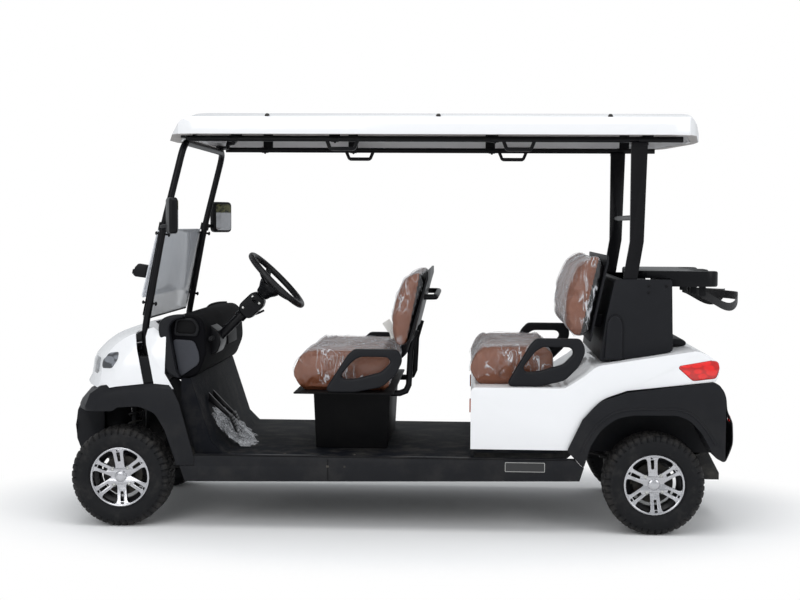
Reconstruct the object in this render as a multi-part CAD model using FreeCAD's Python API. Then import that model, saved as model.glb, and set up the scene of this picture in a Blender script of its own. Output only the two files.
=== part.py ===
import FreeCAD, Part
import math
import os

os.makedirs("parts", exist_ok=True)
V = FreeCAD.Vector

# A four-seat electric golf cart. X runs from the nose to the tail, Y from the driver's side to
# the other side, Z up. The origin is on the ground, in the middle of the length and width.

# Overall sizes
wheelbase = 2450.0
front_overhang = 315.0
rear_overhang = 435.0
body_half = 600.0
length = front_overhang + wheelbase + rear_overhang
front_x = front_overhang - length / 2
rear_x = front_x + wheelbase

# General clearances and walls
overrun = 20.0
fit_gap = 0.3
seat_gap = 0.3
hair = 0.001
panel_wall = 5.0
panel_runs = 12
room_share = 0.48
straight_share = 0.9
middle_share = 0.5

# Wheels and tyres
tyre_radius = 229.0
tyre_width = 205.0
tyre_tread_width = 165.0
tyre_shoulder = 26.0
tyre_side_inset = 5.0
bead_radius = 128.0
bead_width = 150.0
rim_lip_radius = 137.0
rim_lip_width = 7.0
rim_wall = 5.0
bead_clearance = 1.0
tyre_sides = 40
rim_sides = 32
bar_sides = 8
hub_sides = 14
disc_sides = 24
bend_runs = 3
rim_dish = 24.0
rim_face_wall = 16.0
rim_hub_radius = 62.0
hub_face_wall = 10.0
hub_radius = 34.0
spoke_pairs = 6
spoke_start_share = 0.08
spoke_half_angle = 10.0
spoke_root = 8.0
spoke_root_width = 17.0
spoke_tip_width = 24.0
spoke_rise = 3.0
cap_radius = 27.0
cap_height = 14.0
lug_circle_radius = 50.8
lug_radius = 9.0
lug_height = 16.0
lug_count = 4
lug_sides = 6
brake_disc_radius = 92.0
brake_disc_wall = 6.0
axle_radius = 16.0
track_half = body_half - tyre_side_inset - tyre_width / 2

# Chassis
rail_y = 190.0
rail_width = 50.0
rail_height = 72.0
floor_z = 345.0
floor_wall = 18.0
floor_inset = 30.0
floor_half = body_half - floor_inset
rail_front_reach = 215.0
rail_rear_reach = 285.0
kick_start = 430.0
kick_run = 100.0
kick_rise = 90.0
cross_depth = 44.0
cross_height = 56.0
cross_share = (0.0, 0.32, 0.64, 0.97)
tow_plate_half = 150.0
tow_plate_wall = 8.0
tow_plate_reach = 363.0
tow_plate_root = 60.0
tow_plate_lip = 32.0
tow_plate_depth = 106.0
tow_plate_z = 184.0
tow_hole_radius = 9.0
tow_hole_back = 40.0

# Floor, foot wall and raised deck
foot_wall_top_x = 330.0
foot_wall_top_z = 690.0
foot_wall_foot_x = 425.0
foot_wall_foot_rise = 55.0
floor_start = 480.0
foot_wall = 8.0
deck_rise = 39.0
deck_front = 834.0
deck_back = 420.0

# Pedals
pedal_reach = 45.0
pedal_height = 95.0
pedal_lean = 42.0
pedal_wall = 9.0
pedal_half = 32.0
pedal_root = 40.0
pedal_root_share = 0.55
pedal_spacing = 110.0

# Sills
sill_front = 270.0
sill_back = 321.0
sill_bottom_z = 217.0
sill_wall = 4.0
sill_return = 40.0
sill_inner = body_half - sill_return
sill_top_round = 12.0
sill_bulge = 4.0
sill_crown_share = 0.7
sill_outline_share = ((0.0, 0.89), (0.02, 0.0), (0.99, 0.22), (1.0, 0.68), (1.0, 1.0), (0.05, 1.0))

# Front moulding: fender arches and bumper
fender_front = 139.0
fender_tail = 350.0
fender_bottom_z = 327.0
fender_top_z = 678.0
chin_reach = 315.0
chin_bottom_z = 293.0
fender_wall = 5.0
fender_edge = 30.0
arch_inner_y = 270.0
liner_front = 150.0
nose_share = 2.4
fender_place_share = (-0.95, -0.75, -0.5, -0.2)
fender_front_share = ((0.05, -0.02), (-0.01, 0.25), (0.0, 0.56), (0.0, 0.74), (0.05, 0.86), (0.12, 0.92),
                      (0.3, 0.96), (0.49, 0.99), (0.74, 0.98))
chin_front_share = ((0.04, -0.1), (0.0, 0.13), (0.0, 0.33), (0.03, 0.55), (0.08, 0.69), (0.13, 0.8),
                    (0.31, 0.93), (0.53, 1.0), (0.76, 0.98))
fender_back_share = ((0.86, 0.72), (1.0, 0.01))
arch_share = ((-0.3, -1.2, 0.0), (-0.3, 0.59, 0.0), (0.23, 0.6, 0.1), (0.27, 0.65, 0.1), (0.48, 0.67, 0.3),
              (0.63, 0.58, 0.2), (0.72, 0.37, 0.3), (0.82, -0.02, 0.0), (0.95, -1.2, 0.0))

# Front cowl
cowl_front = 90.0
cowl_back = 254.0
cowl_bottom_z = 642.0
cowl_top_z = 925.0
cowl_inset = 15.0
cowl_half = body_half - cowl_inset
cowl_edge = 45.0
cowl_bulge = 172.0
cowl_drop = 16.0
cowl_gap = 2.0
cowl_place_share = (-0.94, -0.7, -0.42, -0.14)
cowl_curve_share = ((0.0, 0.0), (0.07, 0.31), (0.09, 0.45), (0.18, 0.61), (0.37, 0.81), (0.51, 0.89),
                    (0.77, 1.0))
cowl_back_share = ((0.88, 0.25), (1.0, 0.0))
lamp_y = 400.0
lamp_half = 95.0
lamp_z = 735.0
lamp_half_height = 36.0
lamp_wall = 12.0
lamp_gap = 1.0

# Dashboard
dash_front = 200.0
dash_back = 538.0
dash_bottom_z = 654.0
dash_top_z = 983.0
dash_inset = 70.0
dash_half = body_half - dash_inset
dash_wall = 5.0
dash_round = 18.0
dash_outline_share = ((0.0, 0.96), (0.17, 1.0), (0.32, 0.96), (0.69, 0.92), (0.71, 0.86), (0.92, 0.77),
                      (1.0, 0.45), (0.77, 0.17), (0.48, 0.0), (0.05, 0.05))
cubby_y_share = 0.62
cubby_half = 130.0
cubby_low_share = 0.55
cubby_high_share = 0.72

# Steering
steer_z = 1134.0
steer_back = 688.0
steer_y = 290.0
steer_lean_share = 0.5
wheel_ring_radius = 165.0
wheel_grip_radius = 13.0
grip_sides = 6
ring_sides = 40
wheel_dish = 42.0
wheel_hub_radius = 44.0
wheel_boss_length = 60.0
wheel_spokes = 3
spoke_width = 30.0
spoke_wall = 9.0
spoke_slim_share = 0.33
shaft_radius = 11.0
shaft_length = 150.0
column_radius = 21.0
column_length = 470.0
shroud_radius = 36.0
shroud_length = 110.0

# Front suspension and steering gear
kingpin_inset = 82.5
kingpin_y = track_half - kingpin_inset
kingpin_radius = 8.0
knuckle_radius = 17.0
knuckle_half = 56.0
knuckle_plate = 16.0
knuckle_width = 60.0
hub_stub = 20.0
arm_length = 84.0
arm_width = 24.0
arm_wall = 12.0
arm_drop = 30.0
arm_in = 20.0
arm_eye_radius = 15.0
wish_boss_radius = 17.0
wish_boss_height = 22.0
wish_spread = 122.0
wish_window_gap = 51.0
caliper_gap = 3.0
caliper_wall = 12.0
caliper_span = 52.0
caliper_inner_share = 0.62
caliper_root_share = 0.33
damper_radius = 17.0
damper_y = 262.0
damper_lean = 40.0
rack_radius = 6.0
rack_wall = 10.0
rack_housing_half = 150.0
rack_bracket_share = 0.8
rack_end_radius = 16.0
rack_end_wall = 12.0
tower_width = 60.0
tower_wall = 10.0
tower_top_z = 560.0

# Rear axle and springs
rear_tube_radius = 33.0
rear_tube_end = 330.0
gear_case_radius = 92.0
gear_case_width = 150.0
gear_case_y = 40.0
motor_radius = 88.0
motor_length = 125.0
motor_lift = 10.0
leaf_half = 290.0
leaf_wall = 9.0
leaf_count = 3
leaf_width = 46.0
leaf_arch = 38.0
leaf_step_share = 0.26
shackle_width = 34.0
brake_drum_radius = 80.0
brake_drum_width = 26.0

# Battery
battery_front = 60.0
battery_length = 330.0
battery_half = 330.0
battery_height = 215.0

# Front hoop, mirrors and windshield
hoop_inset = 100.0
hoop_y = body_half - hoop_inset
hoop_radius = 16.0
hoop_bend = 60.0
hoop_top_x = 290.0
hoop_knee_x = 98.0
hoop_knee_z = 880.0
hoop_foot_x = 140.0
hoop_foot_z = 655.0
post_half = 23.0
post_gap = 1.0
post_top_z = 790.0
post_reach_share = 0.35
hoop_mid_x = 190.0
hoop_mid_z = 1380.0
glass_wall = 5.0
glass_inset = 2.0
glass_half = hoop_y - glass_inset
glass_foot_z = 955.0
glass_fold_z = 1372.0
fold_reach = 78.0
fold_length = 318.0
glass_corner = 30.0
mirror_reach = 122.0
mirror_back = 65.0
mirror_y = hoop_y + mirror_reach
mirror_half = 66.0
mirror_half_height = 82.0
mirror_wall = 46.0
mirror_round = 22.0
mirror_arm_radius = 8.0
mirror_arm_z = 1385.0
mirror_rise = 51.0
mirror_z = mirror_arm_z + mirror_rise

# Roof and rails
roof_front = 130.0
roof_rear = 250.0
roof_eave = 40.0
roof_half = body_half + roof_eave
roof_top_z = 1935.0
roof_height = 130.0
roof_bottom_z = roof_top_z - roof_height
roof_wall = 6.0
roof_lip = 40.0
roof_front_bow = 133.0
roof_rear_bow = 96.0
roof_corner = 120.0
roof_bow_share = 0.12
roof_front_points = 4
roof_side_share = ((0.0, 0.0, 0.0), (0.012, 0.45, 0.3), (0.052, 0.80, 1.2), (0.10, 1.0, 1.5),
                   (0.95, 0.96, 1.2), (0.985, 0.80, 0.5), (1.0, 0.40, 0.3), (1.0, 0.0, 0.0))
roof_end_share = ((-1.0, 0.0), (-1.0, 0.38), (-0.96, 0.6), (-0.85, 0.73), (-0.6, 0.86), (-0.3, 0.96),
                  (0.0, 1.0), (0.3, 0.96), (0.6, 0.86), (0.85, 0.73), (0.96, 0.6), (1.0, 0.38), (1.0, 0.0))
rail_tube_radius = 13.0
rail_drop = 16.0
handle_radius = 9.0
handle_drop = 46.0
handle_bend = 22.0
handle_length = 165.0
handle_front = 936.0
handle_rear = 708.0
rail_bracket_half = 25.0
rail_bracket_share = (0.1, 0.3, 0.62, 0.93)
rail_shoe = 120.0

# Rear struts
strut_inset = 22.0
strut_y = hoop_y - strut_inset
strut_head = 12.0
strut_bar_z = 1440.0
strut_bar_radius = 12.0
strut_wall = 28.0
strut_top_width = 74.0
strut_foot_width = 62.0
strut_front = 116.0
strut_foot_shift = 58.0
strut_knee_z = 1330.0
strut_neck_z = 1150.0
strut_foot_z = 760.0
strut_round = 40.0
strut_sweep_share = 1.4

# Front seat
seat_front = 761.0
seat_length = 500.0
seat_inset = 120.0
seat_half = body_half - seat_inset
cushion_bottom_z = 630.0
cushion_top_z = 808.0
cushion_round = 50.0
cushion_nose = 40.0
cushion_nose_share = 0.4
back_bottom_gap = 8.0
back_top_z = 1198.0
back_front = 1253.0
back_depth = 178.0
back_share = ((0.05, 0.0, 0.2), (0.0, 0.37, 1.0), (0.17, 0.68, 1.0), (0.44, 0.93, 0.3), (0.62, 1.0, 0.12),
              (0.80, 1.0, 0.12), (0.86, 0.88, 0.3), (0.36, 0.04, 0.2))
shell_wall = 9.0
shell_edge = 10.0
shell_half = seat_half + shell_edge
shell_share = ((0.336, 0.0), (0.86, 0.88), (0.86, 0.97))
base_plate_wall = 8.0
base_plate_reach = 66.0
base_plate_half = seat_half + base_plate_reach
pedestal_front = 873.0
pedestal_back = 1237.0
pedestal_half = 360.0
pedestal_taper = 28.0
pedestal_wall = 5.0
bracket_y = 350.0
bracket_radius = 14.0
bracket_bend = 45.0
grab_half = 330.0
grab_radius = 13.0
grab_reach = 60.0
grab_z = 1062.0

# Armrests
rest_wall = 44.0
rest_gap = 20.0
rest_y = seat_half + rest_gap
rest_height = 200.0
rest_length = 368.0
rest_start = 938.0
rest_outer_share = ((0.0, 0.0, 0.08), (0.30, 0.86, 0.4), (0.38, 1.0, 0.12), (0.93, 1.0, 0.12),
                    (1.0, 0.76, 0.3), (0.91, 0.42, 0.4), (0.74, 0.13, 0.3), (0.40, 0.0, 0.3))
rest_inner_share = ((0.17, 0.29, 0.08), (0.38, 0.74, 0.3), (0.47, 0.82, 0.12), (0.80, 0.82, 0.1),
                    (0.85, 0.71, 0.15), (0.72, 0.47, 0.3), (0.41, 0.32, 0.3))

# Rear seat
rear_seat_front = 865.0
rear_seat_length = 560.0
rear_cushion_height = 168.0
rear_back_room = 132.0
rear_back_front = 400.0
rear_back_depth = 200.0
rear_back_bottom_z = 872.0
rear_back_top_z = 1279.0
rear_back_share = ((0.08, 0.0, 0.2), (0.0, 0.32, 1.0), (0.12, 0.61, 1.0), (0.38, 0.89, 0.3),
                   (0.58, 1.0, 0.12), (0.82, 1.0, 0.12), (0.90, 0.89, 0.3), (0.52, 0.0, 0.2))
rear_shell_share = ((0.52, 0.0), (0.90, 0.89), (0.90, 0.97))
rear_bracket_y = 300.0
rear_bracket_width = 40.0
rear_bracket_low_z = 930.0
rear_bracket_high_z = 985.0
rear_bracket_reach = 120.0
rear_rest_start = 678.0
rear_rest_height = 222.0

# Rear body, flares and lamps
tub_front = 834.0
tub_back = 283.0
tub_bottom_z = 384.0
tub_top_z = 842.0
tub_inset = 15.0
tub_half = body_half - tub_inset
tub_wall = 5.0
tub_share = ((0.0, 0.0, 0.0), (0.0, 0.615, 0.05), (0.38, 0.615, 0.1), (0.46, 0.74, 0.2), (0.51, 0.84, 0.2),
             (0.83, 0.97, 0.5), (0.91, 1.0, 0.15), (0.96, 0.95, 0.1), (0.985, 0.90, 0.1), (1.0, 0.78, 0.2),
             (0.985, 0.70, 0.02), (0.89, 0.675, 0.5), (0.63, 0.60, 0.4), (0.52, 0.505, 0.4),
             (0.465, 0.32, 0.4), (0.395, 0.0, 0.02))
flare_front = 397.0
flare_back = 356.0
flare_bottom_z = 305.0
flare_top_z = 712.0
flare_depth = 60.0
flare_wall = 5.0
flare_gap = 1.0
flare_corner = 70.0
flare_outer_points = 9
bumper_cut_share = 0.925
house_inner_y = 345.0
house_low_z = 345.0
flare_share = ((0.0, 0.19, 0.05), (0.09, 0.54, 0.3), (0.185, 0.74, 0.4), (0.36, 0.85, 0.4),
               (0.89, 0.975, 0.1), (0.94, 0.84, 0.3), (0.95, 0.66, 0.2), (0.99, 0.52, 0.2), (1.0, 0.30, 0.2),
               (0.94, 0.08, 0.05), (0.88, 0.14, 0.1), (0.80, 0.41, 0.4), (0.73, 0.55, 0.3),
               (0.65, 0.605, 0.2), (0.39, 0.60, 0.3), (0.29, 0.56, 0.3), (0.20, 0.43, 0.4), (0.14, 0.25, 0.3),
               (0.10, 0.0, 0.02))
bumper_share = ((0.88, 0.30, 0.05), (0.90, 0.955, 0.05), (0.94, 0.84, 0.3), (0.95, 0.66, 0.2),
                (0.99, 0.52, 0.2), (1.0, 0.30, 0.2), (0.94, 0.08, 0.05), (0.90, 0.12, 0.05))
tail_front = 90.0
tail_back = 283.0
tail_bottom_z = 706.0
tail_top_z = 800.0
tail_depth = 46.0
tail_share = ((0.0, 0.69, 0.1), (0.79, 0.99, 0.1), (0.96, 0.95, 0.15), (1.0, 0.61, 0.3), (0.91, 0.14, 0.2),
              (0.38, 0.0, 0.3))

# Bag well, bag holder and straps
well_front = 248.0
well_back = 84.0
well_top_z = 1159.0
well_inset = 100.0
well_half = body_half - well_inset
well_sink = 60.0
well_open_share = 0.62
well_wall = 6.0
well_share = ((0.0, 0.0, 0.02), (0.09, 0.54, 0.2), (0.20, 1.0, 0.06), (0.975, 1.0, 0.04), (1.0, 0.13, 0.05),
              (0.68, 0.075, 0.05))
holder_front = 67.0
holder_back = 314.0
holder_half = 360.0
holder_wall = 34.0
holder_drop = 38.0
holder_round = 14.0
holder_corner = 60.0
bag_y = 172.0
bag_radius = 118.0
holder_post = 40.0
strap_tilt = 17.0
strap_wall = 3.0
strap_width = 38.0
strap_runs = 8


def middle_on(start, share, end):
    """The value that lies a share of the way from start to end."""
    return start + (end - start) * share


def place(plane, u, v, w):
    """A point from its place in an outline's plane and across that plane."""
    if plane == "xz":
        return V(u, w, v)
    if plane == "xy":
        return V(u, v, w)
    return V(w, u, v)


def rounded_corner(before, corner, after, radius):
    """Start, middle and end of the arc that rounds a corner, limited by the runs beside it."""
    back = before.sub(corner)
    ahead = after.sub(corner)
    back_run, ahead_run = back.Length, ahead.Length
    back.normalize()
    ahead.normalize()
    turn = back.getAngle(ahead)
    if radius <= hair or turn > math.pi * straight_share:
        return corner, None, corner
    cut = min(radius / math.tan(turn / 2), room_share * min(back_run, ahead_run))
    radius = cut * math.tan(turn / 2)
    inward = back.add(ahead)
    inward.normalize()
    middle = corner + inward * (radius / math.sin(turn / 2) - radius)
    return corner + back * cut, middle, corner + ahead * cut


def path_edges(points, radii, closed):
    """Straight runs joined by tangent arcs."""
    count = len(points)
    corners = []
    for i, corner in enumerate(points):
        if not closed and i in (0, count - 1):
            corners.append((corner, None, corner))
        else:
            corners.append(rounded_corner(points[i - 1], corner, points[(i + 1) % count], radii[i]))
    edges = []
    for i in range(count):
        start, middle, end = corners[i]
        if middle is not None:
            edges.append(Part.Arc(start, middle, end).toShape())
        if closed or i < count - 1:
            follow = corners[(i + 1) % count][0]
            if end.distanceToPoint(follow) > hair:
                edges.append(Part.makeLine(end, follow))
    return edges


def chorded(points):
    """An outline whose rounded corners are made of short straight runs."""
    corners = [V(p[0], p[1], 0.0) for p in points]
    line = []
    for i, corner in enumerate(corners):
        radius = points[i][2] if len(points[i]) > 2 else 0.0
        start, middle, end = rounded_corner(corners[i - 1], corner, corners[(i + 1) % len(corners)], radius)
        run = [corner] if middle is None else Part.Arc(start, middle, end).toShape().discretize(bend_runs)
        line += [(p.x, p.y) for p in run]
    return line


def outline_face(points, plane, w):
    """A flat face inside an outline of (u, v) or (u, v, radius) points."""
    corners = [place(plane, p[0], p[1], w) for p in points]
    radii = [p[2] if len(p) > 2 else 0.0 for p in points]
    return Part.Face(Part.Wire(path_edges(corners, radii, True)))


def prism(points, plane, start, end):
    """An outline pulled straight from one place to another."""
    face = outline_face(points, plane, start)
    return face.extrude(place(plane, 0.0, 0.0, end - start))


def inner_prism(points, plane, start, end, wall):
    """The same outline drawn in by a wall, pulled straight."""
    face = outline_face(points, plane, start)
    inside = Part.Face(face.OuterWire.makeOffset2D(-wall))
    return inside.extrude(place(plane, 0.0, 0.0, end - start))


def in_box(shares, u0, u1, v0, v1):
    """Outline points from shares of a box, its corner radii from shares of its height."""
    points = []
    for share in shares:
        radius = share[2] * (v1 - v0) if len(share) > 2 else 0.0
        points.append((middle_on(u0, share[0], u1), middle_on(v0, share[1], v1), radius))
    return points


def block(x0, x1, y0, y1, z0, z1):
    """A plain block between two corners."""
    return Part.makeBox(x1 - x0, y1 - y0, z1 - z0, V(x0, y0, z0))


def rod(start, end, radius):
    """A round bar between two points."""
    way = end.sub(start)
    return Part.makeCylinder(radius, way.Length, start, way)


def bar(start, end, radius, sides):
    """A many-sided bar between two points."""
    return bar_along([start, end], radius, sides)


def bent_bar(points, radius, bend):
    """A many-sided bar along straight runs with bends in short runs."""
    path = [points[0]]
    for i in range(1, len(points) - 1):
        start, middle, end = rounded_corner(points[i - 1], points[i], points[i + 1], bend)
        if middle is None:
            path.append(points[i])
        else:
            path += Part.Arc(start, middle, end).toShape().discretize(bend_runs)
    path.append(points[-1])
    return bar_along(path, radius, bar_sides)


def bar_along(path, radius, sides):
    """Flat facets along a path, mitred at each of its corners, the radius taken to their middles."""
    corner = radius / math.cos(math.pi / sides)
    way = path[1].sub(path[0])
    way.normalize()
    side_way = way.cross(V(0.0, 1.0, 0.0))
    if side_way.Length < room_share:
        side_way = way.cross(V(0.0, 0.0, 1.0))
    side_way.normalize()
    up_way = way.cross(side_way)
    ring = []
    for k in range(sides):
        turn = 2 * math.pi * (k + middle_share) / sides
        ring.append(path[0] + side_way * (corner * math.cos(turn)) + up_way * (corner * math.sin(turn)))
    faces = [facet(ring)]
    for i in range(1, len(path)):
        way = path[i].sub(path[i - 1])
        way.normalize()
        cut = V(way)
        if i + 1 < len(path):
            ahead = path[i + 1].sub(path[i])
            ahead.normalize()
            cut = way.add(ahead)
        follow = [p + way * (path[i].sub(p).dot(cut) / way.dot(cut)) for p in ring]
        for a, b, c, d in zip(ring, ring[1:] + ring[:1], follow[1:] + follow[:1], follow):
            faces.append(facet([a, b, c, d]))
        ring = follow
    faces.append(facet(ring))
    solid = Part.Solid(Part.Shell(faces))
    if solid.Volume < 0:
        solid.reverse()
    return solid


def turned(points, x, sides):
    """A ring of facets about a wheel's axle."""
    return facet_ring(points, sides, V(x, 0.0, tyre_radius), V(0.0, 1.0, 0.0), V(0.0, 0.0, 1.0))


def facet(corners):
    """A flat face between corners."""
    return Part.Face(Part.makePolygon(corners + corners[:1]))


def facet_ring(points, sides, centre, axis, out):
    """A ring of flat facets: a closed (radius, along) outline stepped round an axis."""
    side_way = axis.cross(out)
    faces = []
    for k in range(sides):
        turns = [2 * math.pi * (k + step) / sides for step in (0, 1)]
        ways = [out * math.cos(turn) + side_way * math.sin(turn) for turn in turns]
        for a, b in zip(points, points[1:] + points[:1]):
            corners = [centre + ways[0] * a[0] + axis * a[1], centre + ways[0] * b[0] + axis * b[1],
                       centre + ways[1] * b[0] + axis * b[1], centre + ways[1] * a[0] + axis * a[1]]
            faces.append(facet(corners))
    solid = Part.Solid(Part.Shell(faces))
    if solid.Volume < 0:
        solid.reverse()
    return solid


def joined(shapes):
    """Several solids fused into one, with their shared faces made one."""
    whole = shapes[0]
    for shape in shapes[1:]:
        whole = whole.fuse(shape)
    return whole.removeSplitter()


def other_side(shape):
    """The same piece on the passenger's side."""
    return shape.mirror(V(0.0, 0.0, 0.0), V(0.0, 1.0, 0.0))


def both_sides(shape):
    return [shape, other_side(shape)]


def save(name, shapes):
    """Write one node from its solids."""
    solids = [solid for shape in shapes for solid in shape.Solids]
    whole = solids[0] if len(solids) == 1 else Part.makeCompound(solids)
    whole.exportStep("parts/%s.step" % name)


# Wheels

def tyre(x, y):
    """Tyre ring: beads, bulged sides, shoulders and tread."""
    half = tyre_width / 2
    tread = tyre_tread_width / 2
    bead = bead_width / 2
    shoulder = tyre_radius - tyre_shoulder
    swell = middle_on(bead_radius, middle_share, shoulder)
    side = [(bead_radius, bead), (rim_lip_radius + bead_clearance, bead), (swell, half), (shoulder, half),
            (tyre_radius, tread)]
    ring = turned([(r, -y) for r, y in side] + side[::-1], x, tyre_sides)
    ring.translate(V(0.0, y, 0.0))
    return ring


def rim_barrel(x):
    """Rim with its flared lips; the tyre's beads sit on it."""
    bead = bead_width / 2 + seat_gap
    seat = bead_radius - bead_clearance
    lip = bead + rim_lip_width
    points = [(rim_lip_radius, -lip), (rim_lip_radius, -bead), (seat, -bead), (seat, bead),
              (rim_lip_radius, bead), (rim_lip_radius, lip), (seat - rim_wall, lip), (seat - rim_wall, -lip)]
    return turned(points, x, rim_sides)


def around(x, radius, angle, y):
    """A point at an angle round the wheel's axle."""
    return V(x + radius * math.cos(angle), y, tyre_radius + radius * math.sin(angle))


def spoke(x, side, angle):
    """One half of a twin spoke, from the hub out to the barrel, dished inward at the hub."""
    out = side * bead_width / 2
    hub = out - side * rim_dish
    root = rim_hub_radius - spoke_root
    tip = bead_radius - bead_clearance - rim_wall + hair
    half_root, half_tip = spoke_root_width / 2, spoke_tip_width / 2
    across = V(-math.sin(angle), 0.0, math.cos(angle))
    inner, outer = around(x, root, angle, hub), around(x, tip, angle, out)
    corners = [inner - across * half_root, inner + across * half_root,
               outer + across * half_tip, outer - across * half_tip]
    return facet(corners).extrude(V(0.0, -side * rim_face_wall, 0.0))


def lug(x, y, side, angle):
    """A six-sided wheel nut."""
    centre = around(x, lug_circle_radius, angle, y)
    corners = []
    for k in range(lug_sides):
        turn = k * 2 * math.pi / lug_sides
        corners.append(centre + V(lug_radius * math.cos(turn), 0.0, lug_radius * math.sin(turn)))
    return Part.Face(Part.makePolygon(corners + corners[:1])).extrude(V(0.0, side * lug_height, 0.0))


def rim_face(x, side):
    """Twin spokes round a hub with its cap and nuts."""
    hub = side * (bead_width / 2 - rim_dish)
    pieces = [bar(V(x, hub - side * hub_face_wall, tyre_radius), V(x, hub + side * spoke_rise, tyre_radius),
                  rim_hub_radius, hub_sides),
              bar(V(x, hub, tyre_radius), V(x, hub + side * cap_height, tyre_radius), cap_radius, hub_sides)]
    for i in range(spoke_pairs):
        for half in (-1, 1):
            pair_angle = (i + spoke_start_share) * 2 * math.pi / spoke_pairs
            pieces.append(spoke(x, side, pair_angle + half * math.radians(spoke_half_angle)))
    for i in range(lug_count):
        pieces.append(lug(x, hub, side, (i + middle_share) * 2 * math.pi / lug_count))
    return joined(pieces)


def rim(x, y, side, with_disc):
    """One wheel: barrel, face, hub with its bore and, in front, the brake disc."""
    barrel = rim_barrel(x)
    face = rim_face(x, side)
    hub_out = side * (bead_width / 2 - rim_dish - hub_face_wall)
    hub_in = side * (kingpin_to_plane() * -1 + hub_stub + caliper_gap * 2)
    if not with_disc:
        hub_in = -side * (track_half - rear_hub_y())
    pieces = [barrel, face]
    hub = bar(V(x, hub_in, tyre_radius), V(x, hub_out, tyre_radius), hub_radius, hub_sides)
    pieces.append(hub)
    if with_disc:
        disc = hub_in + side * brake_disc_wall
        pieces.append(bar(V(x, hub_in, tyre_radius), V(x, disc, tyre_radius), brake_disc_radius, disc_sides))
    wheel = joined(pieces)
    bore = rod(V(x, hub_in - side * overrun, tyre_radius), V(x, hub_out, tyre_radius), axle_radius + fit_gap)
    wheel = wheel.cut(bore)
    wheel.translate(V(0.0, y, 0.0))
    return wheel


def kingpin_to_plane():
    """From the kingpin out to the wheel's middle plane."""
    return track_half - kingpin_y


def rear_hub_y():
    """Where the rear hub meets its brake drum."""
    return rear_tube_end + brake_drum_width + fit_gap


# Chassis

def frame_rail():
    """One long rail, kicked up over the rear axle."""
    top = floor_z - floor_wall
    low = top - rail_height
    start = front_x - rail_front_reach
    bend = rear_x - kick_start
    rise = bend + kick_run
    end = rear_x + rail_rear_reach
    points = [(start, low), (start, top), (bend, top), (rise, top + kick_rise), (end, top + kick_rise),
              (end, low + kick_rise), (rise + rail_width / 2, low + kick_rise), (bend + rail_width / 2, low)]
    return prism(points, "xz", -rail_y - rail_width / 2, -rail_y + rail_width / 2)


def chassis_frame():
    top = floor_z - floor_wall
    low = top - cross_height
    rail = frame_rail()
    pieces = both_sides(rail)
    floor_from = front_x + floor_start
    floor_to = rear_x - deck_front
    reach = rail_y - rail_width / 2 + overrun
    wide = sill_inner - fit_gap
    for share in cross_share:
        x = middle_on(floor_from, share, floor_to)
        pieces.append(block(x, x + cross_depth, -wide, wide, low, top))
    front = front_x - rail_front_reach
    beam_half = arch_inner_y - fender_wall - seat_gap
    pieces.append(block(front, front + cross_depth, -beam_half, beam_half, low, top))
    for side in (-1, 1):
        x = front_x + side * wish_spread
        pieces.append(block(x - cross_depth / 2, x + cross_depth / 2, -reach, reach, low, top))
    for x in (rear_x - leaf_half, rear_x + rail_rear_reach - cross_depth):
        pieces.append(block(x, x + cross_depth, -reach, reach, low + kick_rise, top + kick_rise))
    pieces += both_sides(spring_tower())
    pieces += both_sides(wish_pivots())
    pieces.append(tow_plate())
    pieces.append(rack_brackets())
    return joined(pieces)


def spring_tower():
    """Post on the rail that carries the top of a front spring unit."""
    top = floor_z - floor_wall
    x = front_x
    inner = rail_y - rail_width / 2
    post = block(x - tower_width / 2, x + tower_width / 2, -rail_y - rail_width / 2, -inner, top - overrun,
                 tower_top_z)
    cap = block(x - tower_width / 2, x + tower_width / 2, -damper_y - tower_width / 2, -inner,
                tower_top_z - tower_wall, tower_top_z)
    return post.fuse(cap)


def wish_levels():
    """Heights of the middles of the lower and upper wishbones."""
    step = knuckle_half + seat_gap + wish_boss_height / 2
    return tyre_radius - step, tyre_radius + step


def wish_pivots():
    """Hanger plates that carry the inner ends of both wishbones."""
    low = wish_levels()[0]
    plates = []
    for side in (-1, 1):
        x = front_x + side * wish_spread
        plates.append(block(x - cross_depth / 2, x + cross_depth / 2, -rail_y - rail_width / 2,
                            -rail_y + rail_width / 2, low - wish_boss_radius, floor_z - floor_wall))
    return plates[0].fuse(plates[1])


def tow_plate():
    """Hanging plate with a tow pin hole, under the tail."""
    end = rear_x + tow_plate_reach
    start = end - tow_plate_depth
    base = floor_z - floor_wall - rail_height + kick_rise
    root = rear_x + rail_rear_reach
    plates = []
    for y in (-tow_plate_half, tow_plate_half - tow_plate_wall):
        plates.append(prism([(start, tow_plate_z), (end, tow_plate_z), (end, tow_plate_z + tow_plate_lip),
                             (root, base + overrun), (root - tow_plate_root, base + overrun)], "xz", y,
                            y + tow_plate_wall))
    bottom = block(start, end, -tow_plate_half, tow_plate_half, tow_plate_z, tow_plate_z + tow_plate_wall)
    hole = rod(V(end - tow_hole_back, 0.0, tow_plate_z - overrun),
               V(end - tow_hole_back, 0.0, tow_plate_z + overrun), tow_hole_radius)
    beam = block(rear_x + rail_rear_reach - cross_depth, rear_x + rail_rear_reach, -tow_plate_half,
                 tow_plate_half, base, base + rail_height)
    return joined(plates + [bottom.cut(hole), beam])


def rack_x():
    return front_x + arm_length


def rack_z():
    """Height of the rack bar's middle, its end eyes just under the steering arms."""
    return tyre_radius - arm_drop - arm_wall / 2 - seat_gap - rack_end_wall / 2


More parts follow.
